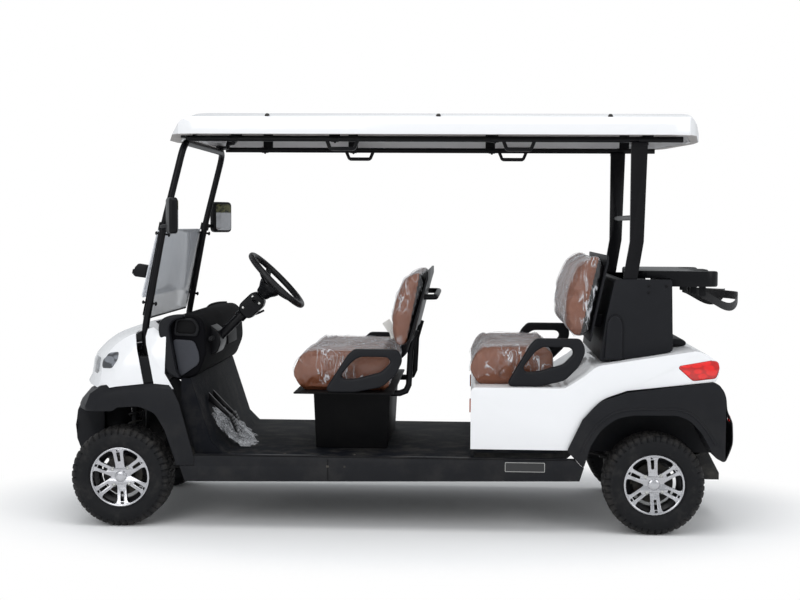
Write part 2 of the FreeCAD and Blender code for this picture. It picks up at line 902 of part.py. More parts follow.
def rack_brackets():
    """Bridge under the frame that holds the rack housing."""
    x = rack_x()
    wide = rack_radius + rack_wall
    top = floor_z - floor_wall - cross_height
    pieces = []
    for side in (-1, 1):
        y = side * rack_housing_half * rack_bracket_share
        pieces.append(block(x - wide, x + wide, y - wide / 2, y + wide / 2, rack_z() - wide, top + overrun))
    bridge = pieces[0].fuse(pieces[1])
    ends = [V(x, side * rack_housing_half, rack_z()) for side in (-1, 1)]
    return bridge.cut(rod(ends[0], ends[1], rack_radius + rack_wall / 2))


def steering_rack():
    """Rack housing, a tube that the rack bar slides in."""
    x = rack_x()
    ends = [V(x, side * rack_housing_half, rack_z()) for side in (-1, 1)]
    tube = rod(ends[0], ends[1], rack_radius + rack_wall / 2)
    return tube.cut(rod(ends[0], ends[1], rack_radius + fit_gap))


def floor_pan():
    """Floor with its foot wall in front and the raised deck under the rear seat."""
    wall_top = front_x + foot_wall_top_x
    wall_foot = front_x + foot_wall_foot_x
    start = front_x + floor_start
    step = rear_x - deck_front
    end = rear_x - deck_back
    top = floor_z
    low = floor_z - floor_wall
    deck = floor_z + deck_rise
    points = [(wall_top, foot_wall_top_z), (wall_foot, top + foot_wall_foot_rise), (start, top), (step, top),
              (step, deck), (end, deck), (end, deck - floor_wall), (step + floor_wall, deck - floor_wall),
              (step + floor_wall, low), (start, low), (wall_foot - foot_wall, top + foot_wall_foot_rise),
              (wall_top - foot_wall, foot_wall_top_z)]
    pan = prism(points, "xz", -floor_half, floor_half)
    edge = [(point[0] + cowl_gap * 2, point[1]) for point in fender_back()]
    kick = [(edge[0][0], foot_wall_top_z), edge[0], edge[1], (start, low),
            (wall_foot - foot_wall, top + foot_wall_foot_rise), (wall_top - foot_wall, foot_wall_top_z)]
    kick = prism(kick, "xz", -floor_half, -floor_half + foot_wall)
    return joined([pan, kick, other_side(kick)])


def sill_panel():
    """Rocker skin: a ledge, a bulged side and a turned-in bottom edge."""
    outer = body_half
    wall = sill_wall
    top = floor_z
    low = sill_bottom_z
    inner_top = floor_half
    crown = middle_on(low, sill_crown_share, top)
    points = [(-inner_top, top), (-outer + sill_bulge, top, sill_top_round), (-outer, crown),
              (-outer + sill_bulge, low, sill_top_round), (-sill_inner, low), (-sill_inner, low + wall),
              (-outer + sill_bulge + wall, low + wall, sill_top_round - wall),
              (-outer + wall, crown),
              (-outer + sill_bulge + wall, top - wall, sill_top_round - wall), (-inner_top, top - wall)]
    start = front_x + sill_front
    end = rear_x - sill_back
    skin = prism(points, "yz", start - overrun, end + overrun)
    outline = in_box(sill_outline_share, start, end, low, top)
    side = prism(outline, "xz", -outer - overrun, -sill_inner + overrun)
    fender_end = front_x + fender_tail + cowl_gap
    skin = skin.common(side).cut(block(start - overrun, fender_end, -outer - overrun, 0.0,
                                       chin_bottom_z - cowl_gap, top + overrun))
    flare = outline_face(flare_points(), "xz", -outer - overrun).OuterWire.makeOffset2D(flare_gap)
    skin = skin.cut(Part.Face(flare).extrude(V(0.0, outer, 0.0)))
    return max(skin.Solids, key=lambda solid: solid.Volume)


def pedal(y):
    """Pad and arm of one pedal, hung on the foot wall."""
    top_x = front_x + foot_wall_foot_x + pedal_reach
    top_z = floor_z + foot_wall_foot_rise + pedal_height
    pad = prism([(top_x, top_z), (top_x + pedal_lean, top_z - pedal_height), (top_x + pedal_lean + pedal_wall,
                 top_z - pedal_height), (top_x + pedal_wall, top_z)], "xz", y - pedal_half, y + pedal_half)
    root_z = middle_on(floor_z + foot_wall_foot_rise, pedal_root_share, foot_wall_top_z)
    root_x = foot_wall_x(root_z)
    arm = prism([(root_x, root_z), (root_x, root_z + pedal_root), (top_x + pedal_wall / 2, top_z),
                 (top_x + pedal_wall / 2, top_z - pedal_wall * 2)], "xz", y - pedal_wall, y + pedal_wall)
    return pad.fuse(arm).cut(foot_wall_room())


def foot_wall_x(z):
    """Cabin face of the foot wall at a height."""
    low = floor_z + foot_wall_foot_rise
    share = (z - low) / (foot_wall_top_z - low)
    return middle_on(front_x + foot_wall_foot_x, share, front_x + foot_wall_top_x)


def battery_block():
    start = rear_x - deck_front + battery_front
    base = floor_z + deck_rise
    return block(start, start + battery_length, -battery_half, battery_half, base, base + battery_height)


# Front body

def section_wire(curve, straight, y):
    """Closed section: a smooth curve in short runs, then straight edges back to its start."""
    spline = Part.BSplineCurve()
    spline.interpolate([V(x, y, z) for x, z in curve])
    points = spline.toShape().discretize(panel_runs)
    edges = [Part.makeLine(a, b) for a, b in zip(points, points[1:])]
    corners = [points[-1]] + [V(x, y, z) for x, z in straight] + [points[0]]
    for start, end in zip(corners, corners[1:]):
        if start.distanceToPoint(end) > hair:
            edges.append(Part.makeLine(start, end))
    return Part.Wire(edges)


def fender_back():
    """Rear edge of the fender, where the floor and the sill begin."""
    return in_box(fender_back_share, front_x - fender_front, front_x + fender_tail, fender_bottom_z,
                  fender_top_z)


def fender_section(y, half, inset, reach):
    """Bumper and fender section: the chin's outline in the middle, the fender's at the side."""
    share = min(1.0, abs(y) / half) ** nose_share
    tail = front_x + fender_tail
    side = in_box(fender_front_share, front_x - fender_front, tail, fender_bottom_z, fender_top_z)
    chin = in_box(chin_front_share, front_x - chin_reach, tail, fender_bottom_z, fender_top_z)
    curve = []
    for a, b in zip(chin, side):
        curve.append((middle_on(a[0], share, b[0]) + inset, middle_on(a[1], share, b[1]) - inset))
    straight = [(curve[-1][0] + reach, curve[-1][1])]
    straight += [(point[0] + reach, point[1]) for point in fender_back()]
    bottom = curve[0][1] - reach
    straight += [(straight[-1][0], bottom), (curve[0][0], bottom)]
    return section_wire(curve, straight, y)


def fender_solid(half, inset, reach):
    """Solid form of the front moulding, rounded toward its sides."""
    places = [(-1.0, fender_edge)] + [(share, 0.0) for share in fender_place_share]
    places += [(-share, edge) for share, edge in reversed(places)]
    wires = [fender_section(share * half, half, inset + edge, reach) for share, edge in places]
    return Part.makeLoft(wires, True, True)


def arch_prism(side):
    """Room for the front wheel: the arch seen in side view, from inboard of the tyre outward."""
    outline = in_box(arch_share, front_x - fender_front, front_x + fender_tail, fender_bottom_z, fender_top_z)
    start, end = side * arch_inner_y, side * (body_half + overrun)
    return prism(outline, "xz", min(start, end), max(start, end))


def front_fender():
    """Black moulding with both fender arches and the bumper between them."""
    outer = fender_solid(body_half, 0.0, 0.0)
    inner = fender_solid(body_half - fender_wall, fender_wall, overrun)
    shell = outer.cut(inner)
    low = block(front_x - chin_reach - overrun, front_x + fender_tail + overrun, -body_half - overrun,
                body_half + overrun, 0.0, chin_bottom_z)
    reach = front_x - liner_front
    front = front_x - chin_reach - overrun
    liner = outer.common(block(front, reach, -arch_inner_y, -arch_inner_y + fender_wall, chin_bottom_z,
                               fender_top_z))
    rear_liner = outer.common(block(front_x + liner_front, front_x + fender_tail, -arch_inner_y,
                                    -arch_inner_y + fender_wall, fender_bottom_z, fender_top_z))
    shell = joined([shell, liner, other_side(liner), rear_liner, other_side(rear_liner)])
    return shell.cut(arch_prism(-1)).cut(arch_prism(1)).cut(low)


def cowl_section(y, half, inset, reach):
    """Cowl section: the nose curve shifted forward toward the middle."""
    share = min(1.0, abs(y) / half) ** 2
    shift = -cowl_bulge * (1 - share)
    drop = -cowl_drop * (1 - share)
    curve = []
    x0, x1 = front_x - cowl_front, front_x + cowl_back
    for point in in_box(cowl_curve_share, x0, x1, cowl_bottom_z, cowl_top_z):
        curve.append((point[0] + shift + inset, point[1] + drop - inset))
    back = in_box(cowl_back_share, x0, x1, cowl_bottom_z, cowl_top_z)
    straight = [(point[0] + reach, point[1] - reach) for point in back]
    curve[0] = (curve[0][0], straight[-1][1])
    return section_wire(curve, straight, y)


def cowl_solid(half, inset, reach):
    places = [(-1.0, cowl_edge)] + [(share, 0.0) for share in cowl_place_share]
    places += [(-share, edge) for share, edge in reversed(places)]
    wires = [cowl_section(share * half, half, inset + edge, reach) for share, edge in places]
    return Part.makeLoft(wires, True, True)


def lamp_outline(gap):
    """Headlight outline in front view."""
    round_end = lamp_half_height + gap
    half = lamp_half + gap
    return [(-lamp_y - half, lamp_z - round_end, round_end), (-lamp_y + half, lamp_z - round_end, round_end),
            (-lamp_y + half, lamp_z + round_end, round_end), (-lamp_y - half, lamp_z + round_end, round_end)]


def cowl_and_lamps():
    """White cowl skin with its two headlight lenses let in flush."""
    outer = cowl_solid(cowl_half, 0.0, 0.0)
    inner = cowl_solid(cowl_half - panel_wall, panel_wall, overrun)
    start, end = front_x - chin_reach, front_x + cowl_back
    deep = cowl_solid(cowl_half - lamp_wall, lamp_wall, overrun)
    lens = outer.cut(deep).common(prism(lamp_outline(0.0), "yz", start, end))
    hole = prism(lamp_outline(lamp_gap), "yz", start, end)
    shell = outer.cut(inner).cut(hole).cut(other_side(hole))
    under = fender_solid(body_half + cowl_gap, -cowl_gap, cowl_gap)
    post = post_room()
    return shell.cut(under).cut(post).cut(other_side(post)), lens.cut(under)


def dash_points():
    points = in_box(dash_outline_share, front_x + dash_front, front_x + dash_back, dash_bottom_z, dash_top_z)
    return [(point[0], point[1], dash_round) for point in points]


def dashboard():
    """Hollow dash moulding with a cubby opening each side of the column."""
    points = dash_points()
    body = prism(points, "xz", -dash_half, dash_half)
    body = body.cut(inner_prism(points, "xz", -dash_half + dash_wall, dash_half - dash_wall, dash_wall))
    low = middle_on(dash_bottom_z, cubby_low_share, dash_top_z)
    high = middle_on(dash_bottom_z, cubby_high_share, dash_top_z)
    start = middle_on(front_x + dash_front, middle_share, front_x + dash_back)
    for side in (-1, 1):
        y = side * dash_half * cubby_y_share
        hole = block(start, front_x + dash_back + overrun, y - cubby_half, y + cubby_half, low, high)
        body = body.cut(hole)
    foot = foot_wall_room()
    column = rod(column_point(-column_length), column_point(0.0), column_radius + seat_gap)
    return body.cut(foot).cut(column)


def foot_wall_room():
    """Space of the foot wall, which the dash closes against."""
    wall_top = front_x + foot_wall_top_x
    wall_foot = front_x + foot_wall_foot_x
    grow = foot_wall + seat_gap
    top = floor_z + foot_wall_foot_rise
    points = [(wall_top + seat_gap, foot_wall_top_z + seat_gap), (wall_foot + seat_gap, top),
              (wall_foot - grow, top), (wall_top - grow, foot_wall_top_z + seat_gap)]
    return prism(points, "xz", -floor_half - overrun, floor_half + overrun)


# Steering

def lean():
    """Direction up along the steering column."""
    angle = math.pi / 2 * steer_lean_share
    return V(math.cos(angle), 0.0, math.sin(angle))


def column_point(along):
    """A point on the column's axis, measured from the column's top end."""
    centre = V(front_x + steer_back, -steer_y, steer_z)
    top = centre - lean() * (wheel_dish + wheel_boss_length)
    return top + lean() * along


def steering_column():
    """Column tube with its tilt shroud; the wheel's shaft turns in its bore."""
    top = column_point(0.0)
    tube = rod(column_point(-column_length), top, column_radius)
    shroud = rod(column_point(-shroud_length), top, shroud_radius)
    bore = rod(column_point(-shaft_length - seat_gap), column_point(overrun), shaft_radius + fit_gap)
    return tube.fuse(shroud).cut(bore)


def steering_wheel():
    """Ring, three spokes, boss and shaft."""
    centre = V(front_x + steer_back, -steer_y, steer_z)
    axis = lean()
    ring = grip_ring(centre, axis)
    hub_top = centre - axis * (wheel_dish - spoke_wall)
    hub_foot = column_point(seat_gap)
    boss = rod(hub_foot, hub_top, wheel_hub_radius)
    shaft = rod(column_point(-shaft_length), hub_foot, shaft_radius)
    pieces = [ring, boss, shaft]
    side_way = V(0.0, 1.0, 0.0)
    for i in range(wheel_spokes):
        angle = math.pi / 2 + math.pi + i * 2 * math.pi / wheel_spokes
        up_way = V(-axis.z, 0.0, axis.x)
        out = side_way * math.cos(angle) + up_way * math.sin(angle)
        across = axis.cross(out)
        start = centre - axis * wheel_dish + out * (wheel_hub_radius / 2)
        end = centre + out * wheel_ring_radius
        pieces.append(flat_spoke(start, end, across, axis))
    return joined(pieces)


def grip_ring(centre, axis):
    """Hand ring with a many-sided section, turned about the column's axis."""
    points = []
    for i in range(grip_sides):
        angle = (i + middle_share) * 2 * math.pi / grip_sides
        points.append((wheel_ring_radius + wheel_grip_radius * math.cos(angle),
                       wheel_grip_radius * math.sin(angle)))
    return facet_ring(points, ring_sides, centre, axis, V(0.0, 1.0, 0.0))


def flat_spoke(start, end, across, axis):
    """A flat tapered spoke between two points."""
    wide = across * (spoke_width / 2)
    slim = across * (spoke_width * spoke_slim_share)
    thick = axis * spoke_wall
    corners = [start - wide, start + wide, end + slim, end - slim]
    edges = [Part.makeLine(a, b) for a, b in zip(corners, corners[1:] + corners[:1])]
    return Part.Face(Part.Wire(edges)).extrude(thick)


# Front suspension

def stub_end():
    """How far across, from the kingpin, the stub axle reaches into the hub."""
    return kingpin_to_plane() + bead_width / 2 - rim_dish - hub_face_wall - seat_gap


def knuckle():
    """Driver's side knuckle: kingpin, upright, stub axle, steering arm and brake caliper."""
    x, y, z = front_x, -kingpin_y, tyre_radius
    pin_half = knuckle_half + wish_boss_height + seat_gap
    pieces = [rod(V(x, y, z - pin_half), V(x, y, z + pin_half), kingpin_radius),
              bar(V(x, y, z - knuckle_half), V(x, y, z + knuckle_half), knuckle_radius, bar_sides),
              block(x - knuckle_width / 2, x + knuckle_width / 2, y - hub_stub, y - hub_stub + knuckle_plate,
                    z - knuckle_half, z + knuckle_half),
              rod(V(x, y, z), V(x, y - stub_end(), z), axle_radius)]
    arm_top = z - arm_drop + arm_wall / 2
    arm_low = z - arm_drop - arm_wall / 2
    arm_y = y + arm_in
    end_x = x + arm_length
    pieces.append(prism([(x, y - arm_width / 2), (x + knuckle_width / 2, y - arm_width),
                         (end_x, arm_y - arm_eye_radius), (end_x, arm_y + arm_eye_radius),
                         (x, y + arm_width / 2)], "xy", arm_low, arm_top))
    pieces.append(bar(V(end_x, arm_y, arm_low), V(end_x, arm_y, arm_top), arm_eye_radius, bar_sides))
    pieces.append(caliper(x, y, z))
    return joined(pieces)


def caliper(x, y, z):
    """Brake caliper round the front edge of the disc, on a bracket from the upright."""
    disc_in = y - hub_stub - caliper_gap * 2
    disc_out = disc_in - brake_disc_wall
    outer = brake_disc_radius + caliper_gap + caliper_wall
    inner = brake_disc_radius * caliper_inner_share
    y0, y1 = disc_out - caliper_gap, disc_in + caliper_gap
    z0, z1 = z - caliper_span / 2, z + caliper_span / 2
    body = block(x - outer, x - inner, y0 - caliper_wall, y1 + caliper_wall, z0, z1)
    slot = bar(V(x, y0, z), V(x, y1, z), brake_disc_radius + caliper_gap, disc_sides)
    plate = y - hub_stub
    root = x - knuckle_width * caliper_root_share
    bracket = block(x - inner, root, plate, plate + knuckle_plate, z0, z1)
    near = block(x - outer, x - inner, plate, plate + knuckle_plate, z0, z1)
    return joined([body.cut(slot), bracket, near])


def wishbone(z):
    """A-shaped pressed arm from two pivots on the frame to the kingpin's boss."""
    x, y = front_x, -kingpin_y
    low, high = z - wish_boss_height / 2, z + wish_boss_height / 2
    half = cross_depth / 2
    inner_y = -rail_y - rail_width / 2
    outer, inner = wish_spread + half, wish_spread - half
    outline = [(x - outer, inner_y), (x + outer, inner_y), (x + wish_boss_radius, y),
               (x - wish_boss_radius, y)]
    arms = prism(outline, "xy", low, high)
    gap = [(x - inner, inner_y + overrun), (x + inner, inner_y + overrun), (x, y + wish_window_gap)]
    window = prism(gap, "xy", low - overrun, high + overrun)
    boss = bar(V(x, y, low), V(x, y, high), wish_boss_radius, bar_sides)
    hole = rod(V(x, y, low - overrun), V(x, y, high + overrun), kingpin_radius + fit_gap)
    return joined([arms.cut(window), boss]).cut(hole)


def front_arms():
    low, high = wish_levels()
    return [wishbone(low), wishbone(high)]


def spring_unit():
    """Coil spring round its damper, between the lower arm and the tower."""
    foot_z = wish_levels()[0] + wish_boss_height / 2 + seat_gap
    top_z = tower_top_z - tower_wall - seat_gap
    way = V(0.0, damper_lean, top_z - foot_z)
    foot = V(front_x, -damper_y - damper_lean, foot_z)
    way.normalize()
    body = bar(foot - way * overrun, V(front_x, -damper_y, top_z) + way * overrun, damper_radius, bar_sides)
    reach = damper_radius + damper_lean
    y0, y1 = -damper_y - reach, -damper_y + reach
    return body.common(block(front_x - reach, front_x + reach, y0, y1, foot_z, top_z))


# Rear axle

def rear_axle():
    """Axle tube with gear case, drive motor, brake drums and stub shafts."""
    z = tyre_radius
    end = rear_tube_end
    tube = bar(V(rear_x, -end, z), V(rear_x, end, z), rear_tube_radius, bar_sides)
    motor_y = gear_case_y - gear_case_width / 2
    case_end = gear_case_y + gear_case_width / 2
    case = bar(V(rear_x, motor_y, z), V(rear_x, case_end, z), gear_case_radius, hub_sides)
    motor = bar(V(rear_x - gear_case_radius, motor_y + overrun, z + motor_lift),
                V(rear_x - gear_case_radius, motor_y - motor_length, z + motor_lift), motor_radius, hub_sides)
    pieces = [tube, case, motor]
    stub = track_half + bead_width / 2 - rim_dish - hub_face_wall - seat_gap
    for side in (-1, 1):
        pieces.append(bar(V(rear_x, side * (end - overrun), z), V(rear_x, side * (end + brake_drum_width), z),
                          brake_drum_radius, hub_sides))
        pieces.append(rod(V(rear_x, side * end, z), V(rear_x, side * stub, z), axle_radius))
    return joined(pieces)


def leaf_spring():
    """Pack of curved leaves on the axle tube, with shackles up to the rail."""
    base = tyre_radius + rear_tube_radius
    y0, y1 = -rail_y - leaf_width / 2, -rail_y + leaf_width / 2
    leaves = []
    for i in range(leaf_count):
        half = leaf_half * (1 - i * leaf_step_share)
        rise = leaf_arch * (half / leaf_half) ** 2
        low = base + (leaf_count - 1 - i) * leaf_wall
        leaves.append(curved_leaf(half, rise, low, y0, y1))
    pack = joined(leaves)
    rail_low = floor_z - floor_wall - rail_height + kick_rise
    eye = base + (leaf_count - 1) * leaf_wall + leaf_arch
    for side in (-1, 1):
        x = rear_x + side * (leaf_half - shackle_width / 2)
        pack = pack.fuse(block(x - shackle_width / 2, x + shackle_width / 2, y0, y1, eye, rail_low))
    return pack.removeSplitter()


def curved_leaf(half, rise, low, y0, y1):
    """One leaf: a shallow arc, higher at its ends."""
    wall = leaf_wall
    ends = [V(rear_x - half, y0, low + rise), V(rear_x + half, y0, low + rise)]
    under = Part.Arc(ends[0], V(rear_x, y0, low), ends[1]).toShape()
    up = V(0.0, 0.0, wall)
    over = Part.Arc(ends[1] + up, V(rear_x, y0, low + wall), ends[0] + up).toShape()
    sides = [Part.makeLine(ends[1], ends[1] + up), Part.makeLine(ends[0] + up, ends[0])]
    face = Part.Face(Part.Wire([under, sides[0], over, sides[1]]))
    return face.extrude(V(0.0, y1 - y0, 0.0))


# Hoop, glass and mirrors

def hoop_points(y):
    """Middle line of a front pillar from its foot to the roof."""
    return [V(front_x + hoop_foot_x, y, hoop_foot_z), V(front_x + hoop_knee_x, y, hoop_knee_z),
            V(front_x + hoop_mid_x, y, hoop_mid_z), V(front_x + hoop_top_x, y, hoop_top_z())]


def hoop_top_z():
    return roof_bottom_z - rail_drop - rail_tube_radius


def front_hoop():
    """Both pillars and the crossbar between them, one bent tube with its foot covers."""
    left = hoop_points(-hoop_y)
    right = hoop_points(hoop_y)
    tube = bent_bar(left + right[::-1], hoop_radius, hoop_bend)
    cover = prism(post_outline(post_half), "xz", -cowl_half, -hoop_y).common(
        block(front_x, front_x + cowl_back, -body_half, body_half, 0.0, post_top_z))
    under = fender_solid(body_half + seat_gap, -seat_gap, seat_gap)
    return joined([tube, cover, other_side(cover)]).cut(under)


def post_outline(half):
    """Side outline along the foot of a pillar, half to each side of it."""
    foot, knee = hoop_points(0.0)[:2]
    reach = knee.sub(foot) * post_reach_share
    low, high = foot - reach, knee + reach
    return [(low.x - half, low.z), (low.x + half, low.z), (high.x + half, high.z), (high.x - half, high.z)]


def post_room():
    """Channel in the cowl's side for a pillar's foot."""
    knee = hoop_points(0.0)[1]
    middle = hoop_points(0.0)[2]
    half = post_half + post_gap
    upper = [(knee.x - half, knee.z), (knee.x + half, knee.z), (middle.x + half, middle.z),
             (middle.x - half, middle.z)]
    start, end = -body_half - overrun, -hoop_y + hoop_radius + post_gap
    return prism(post_outline(half), "xz", start, end).fuse(prism(upper, "xz", start, end))


def glass_line():
    """Foot and fold of the lower pane, and the direction up along it, just ahead of the pillars."""
    knee = hoop_points(0.0)[1]
    middle = hoop_points(0.0)[2]
    up = middle.sub(knee)
    up.normalize()
    out = V(-up.z, 0.0, up.x)
    base = knee + out * (hoop_radius + seat_gap)
    foot = base + up * ((glass_foot_z - base.z) / up.z)
    fold = base + up * ((glass_fold_z - base.z) / up.z)
    return foot, fold, out


def pane(foot, top, out):
    """A flat pane with rounded corners between two heights."""
    up = top.sub(foot)
    corners = [foot + V(0.0, -glass_half, 0.0), foot + V(0.0, glass_half, 0.0),
               foot + V(0.0, glass_half, 0.0) + up, foot + V(0.0, -glass_half, 0.0) + up]
    edges = path_edges(corners, [glass_corner] * len(corners), True)
    return Part.Face(Part.Wire(edges)).extrude(out * glass_wall)


def windshield():
    """Lower pane and the upper pane, folded down in front of it."""
    foot, fold, out = glass_line()
    lower = pane(foot, fold, out)
    hinge = fold + out * (glass_wall + seat_gap)
    down = V(-fold_reach, 0.0, -fold_length)
    tilt = V(down.z, 0.0, -down.x)
    tilt.normalize()
    upper = pane(hinge + down, hinge, tilt)
    return [lower, upper]


def mirror():
    """Driver's side mirror: rounded head and the arm that clamps the pillar."""
    pillar = pillar_at(mirror_arm_z)
    x = pillar.x + mirror_back
    y0, y1 = -mirror_y - mirror_half, -mirror_y + mirror_half
    z0, z1 = mirror_z - mirror_half_height, mirror_z + mirror_half_height
    outline = [(y0, z0, mirror_round), (y1, z0, mirror_round), (y1, z1, mirror_round), (y0, z1, mirror_round)]
    head = prism(outline, "yz", x - mirror_wall / 2, x + mirror_wall / 2)
    start = V(pillar.x, -hoop_y - hoop_radius - seat_gap, mirror_arm_z)
    bend = V(pillar.x, start.y - overrun, mirror_arm_z)
    end = V(x, -mirror_y, mirror_arm_z)
    return joined([head, bar_along([start, bend, end], mirror_arm_radius, bar_sides)])


def pillar_at(z):
    """Point on the driver's side pillar's middle line at a height."""
    middle, top = hoop_points(-hoop_y)[2:]
    share = (z - middle.z) / (top.z - middle.z)
    return middle + top.sub(middle) * share


# Roof

def roof():
    """Moulded roof: crowned outer form, hollow underside inside a lip."""
    return roof_form(0.0).cut(roof_room(0.0))


def roof_room(gap):
    """Hollow under the roof, a gap below its underside."""
    inner = roof_form(roof_lip)
    inner.translate(V(0.0, 0.0, -roof_wall - gap))
    return inner


def roof_form(inset):
    """Side, end and plan outlines crossed with each other."""
    x0 = front_x + roof_front + inset
    x1 = rear_x + roof_rear - inset
    half = roof_half - inset
    z0, z1 = roof_bottom_z, roof_top_z
    low = z0 - inset
    outline = chorded([(x0, low)] + in_box(roof_side_share, x0, x1, z0, z1)[1:-1] + [(x1, low)])
    side = prism(outline, "xz", -half,
                 half)
    end_points = in_box(roof_end_share, 0.0, half, z0, z1)
    end_points[0] = (-half, low, 0.0)
    end_points[-1] = (half, low, 0.0)
    ends = prism(chorded(end_points), "yz", x0 - overrun, x1 + overrun)
    body = side.common(ends).common(roof_plan(x0, x1, half, low, z1 + overrun))
    for slope in roof_slopes(x0, x1, half, low, z0, z1):
        body = body.common(slope)
    return body


def roof_slopes(x0, x1, half, low, z0, z1):
    """The end slopes again, each turned to lie along one slanting run of the front or rear edge."""
    line = in_box(roof_side_share, x0, x1, z0, z1)
    far = x1 - x0
    front = chorded([(x0, low)] + line[1:roof_front_points] + [(x1 + far, z1), (x1 + far, low)])
    rear = chorded([(x0 - far, low), (x0 - far, z1)] + line[roof_front_points:-1] + [(x1, low)])
    flat = half * roof_bow_share
    slopes = []
    for side in (-1, 1):
        for points, pivot, bow in ((front, x0, roof_front_bow), (rear, x1, -roof_rear_bow)):
            slope = prism(points, "xz", -far, far)
            turn = math.degrees(math.atan2(bow, half - flat))
            slope.rotate(V(pivot, side * flat, low), V(0.0, 0.0, 1.0), -side * turn)
            slopes.append(slope)
    return slopes


def roof_plan(x0, x1, half, low, high):
    """Plan outline: bowed front and rear edges, straight sides, rounded corners."""
    front, rear = x0 + roof_front_bow, x1 - roof_rear_bow
    flat = half * roof_bow_share
    points = [(front, -half, roof_corner), (rear, -half, roof_corner), (x1, -flat, roof_half),
              (x1, flat, roof_half), (rear, half, roof_corner), (front, half, roof_corner),
              (x0, flat, roof_half), (x0, -flat, roof_half)]
    return prism(chorded(points), "xy", low, high)


def roof_rail():
    """Rail tube along the roof's underside with two grab handles below it."""
    z = roof_bottom_z - rail_tube_radius
    start = V(front_x + hoop_top_x + hoop_radius + seat_gap, -hoop_y, z)
    end = V(rear_x + roof_rear - roof_rear_bow - roof_lip, -hoop_y, z)
    pieces = [bar(start, end, rail_tube_radius, bar_sides)]
    for x in (front_x + handle_front, rear_x - handle_rear):
        pieces.append(grab_handle(x, z))
    room = roof_room(seat_gap)
    for share in rail_bracket_share:
        x = middle_on(start.x, share, end.x)
        pieces.append(block(x - rail_bracket_half, x + rail_bracket_half, -hoop_y - handle_radius,
                            -hoop_y + handle_radius, z, roof_top_z).common(room))
    hoop_x = front_x + hoop_top_x
    pieces.append(block(hoop_x - hoop_radius, start.x + overrun, -hoop_y - handle_radius, -hoop_y + rail_shoe,
                        hoop_top_z() + hoop_radius / math.cos(math.pi / bar_sides) + seat_gap, roof_bottom_z))
    return joined(pieces)


def grab_handle(x, z):
    """A dropped handle with its two ends in the rail."""
    slope = handle_drop / 2
    wall = handle_radius * 2
    low = z - handle_drop - handle_radius
    end = x + handle_length
    points = [(x, z), (x + slope, low, handle_bend), (end - slope, low, handle_bend), (end, z),
              (end - wall, z), (end - slope - wall / 2, low + wall, handle_bend - wall),
              (x + slope + wall / 2, low + wall, handle_bend - wall), (x + wall, z)]
    return prism(points, "xz", -hoop_y - handle_radius, -hoop_y + handle_radius)


# Rear struts

def strut_points():
    """Side outline of a strut, wider at the top, its foot swept forward and down to the deck."""
    front = rear_x - strut_front
    top = roof_bottom_z - rail_tube_radius * 2 - seat_gap
    foot_front = front - strut_foot_shift * strut_sweep_share
    neck = front - strut_foot_shift / 2
    points = [(front, top), (front, strut_knee_z, strut_round), (neck, strut_neck_z, strut_round),
              (foot_front, strut_foot_z), (foot_front + strut_foot_width, strut_foot_z),
              (neck + strut_foot_width, strut_neck_z, strut_round),
              (front + strut_foot_width, strut_knee_z, strut_round), (front + strut_top_width, top)]
    return points


def rear_struts():
    """Both struts, each with a head under its rail, and the bar between them."""
    strut = prism(strut_points(), "xz", -strut_y - strut_wall / 2, -strut_y + strut_wall / 2)
    front = rear_x - strut_front
    top = roof_bottom_z - rail_tube_radius * 2 - seat_gap
    head = block(front, front + strut_top_width, -hoop_y - rail_tube_radius, -strut_y + strut_wall / 2,
                 top - strut_head, top)
    middle = front + strut_foot_width / 2
    ends = [V(middle, side * strut_y, strut_bar_z) for side in (-1, 1)]
    cross = bar(ends[0], ends[1], strut_bar_radius, bar_sides)
    whole = joined([strut, head, other_side(strut), other_side(head), cross])
    return whole.cut(tub_room(seat_gap))


# Seats

def cushion(x0, x1, z0, z1, half):
    """Plain cushion block with rounded long edges."""
    nose = middle_on(z0, cushion_nose_share, z1)
    points = [(x0 + cushion_nose, z0, cushion_round / 2), (x0, nose, cushion_round),
              (x0 + cushion_nose, z1, cushion_round), (x1, z1, cushion_round / 2),
              (x1, z0, cushion_round / 2)]
    return prism(points, "xz", -half, half)


def seat_x(back):
    return front_x + back


def front_cushion():
    x0 = seat_x(seat_front)
    return cushion(x0, x0 + seat_length, cushion_bottom_z, cushion_top_z, seat_half)


def back_rest(x0, depth, z0, z1, share, half):
    return prism(in_box(share, x0, x0 + depth, z0, z1), "xz", -half, half)


def back_shell(x0, depth, z0, z1, share, half):
    """Thin shell that follows the back of the backrest, a small gap behind it."""
    line = in_box(share, x0, x0 + depth, z0, z1)
    points = [(point[0] + seat_gap, point[1]) for point in line]
    points += [(point[0] + seat_gap + shell_wall, point[1]) for point in reversed(line)]
    return prism(points, "xz", -half, half)


def front_back():
    return back_rest(seat_x(back_front), back_depth, cushion_top_z + back_bottom_gap, back_top_z, back_share,
                     seat_half)


def seat_base_front():
    """Pedestal box, base plate and the two bracket tubes that carry the backrest."""
    low = floor_z
    plate_top = cushion_bottom_z - seat_gap
    plate_low = plate_top - base_plate_wall
    x0, x1 = seat_x(pedestal_front), seat_x(pedestal_back)
    taper = pedestal_taper / 2
    outline = [(x0 + taper, low), (x0, plate_low), (x1, plate_low), (x1 - taper, low)]
    outer = prism(outline, "xz", -pedestal_half, pedestal_half)
    inner_half = pedestal_half - pedestal_wall
    inner = inner_prism(outline, "xz", -inner_half, inner_half, pedestal_wall)
    plate = block(seat_x(seat_front) + cushion_nose, seat_x(seat_front) + seat_length, -base_plate_half,
                  base_plate_half, plate_low, plate_top)
    return joined([outer.cut(inner), plate])


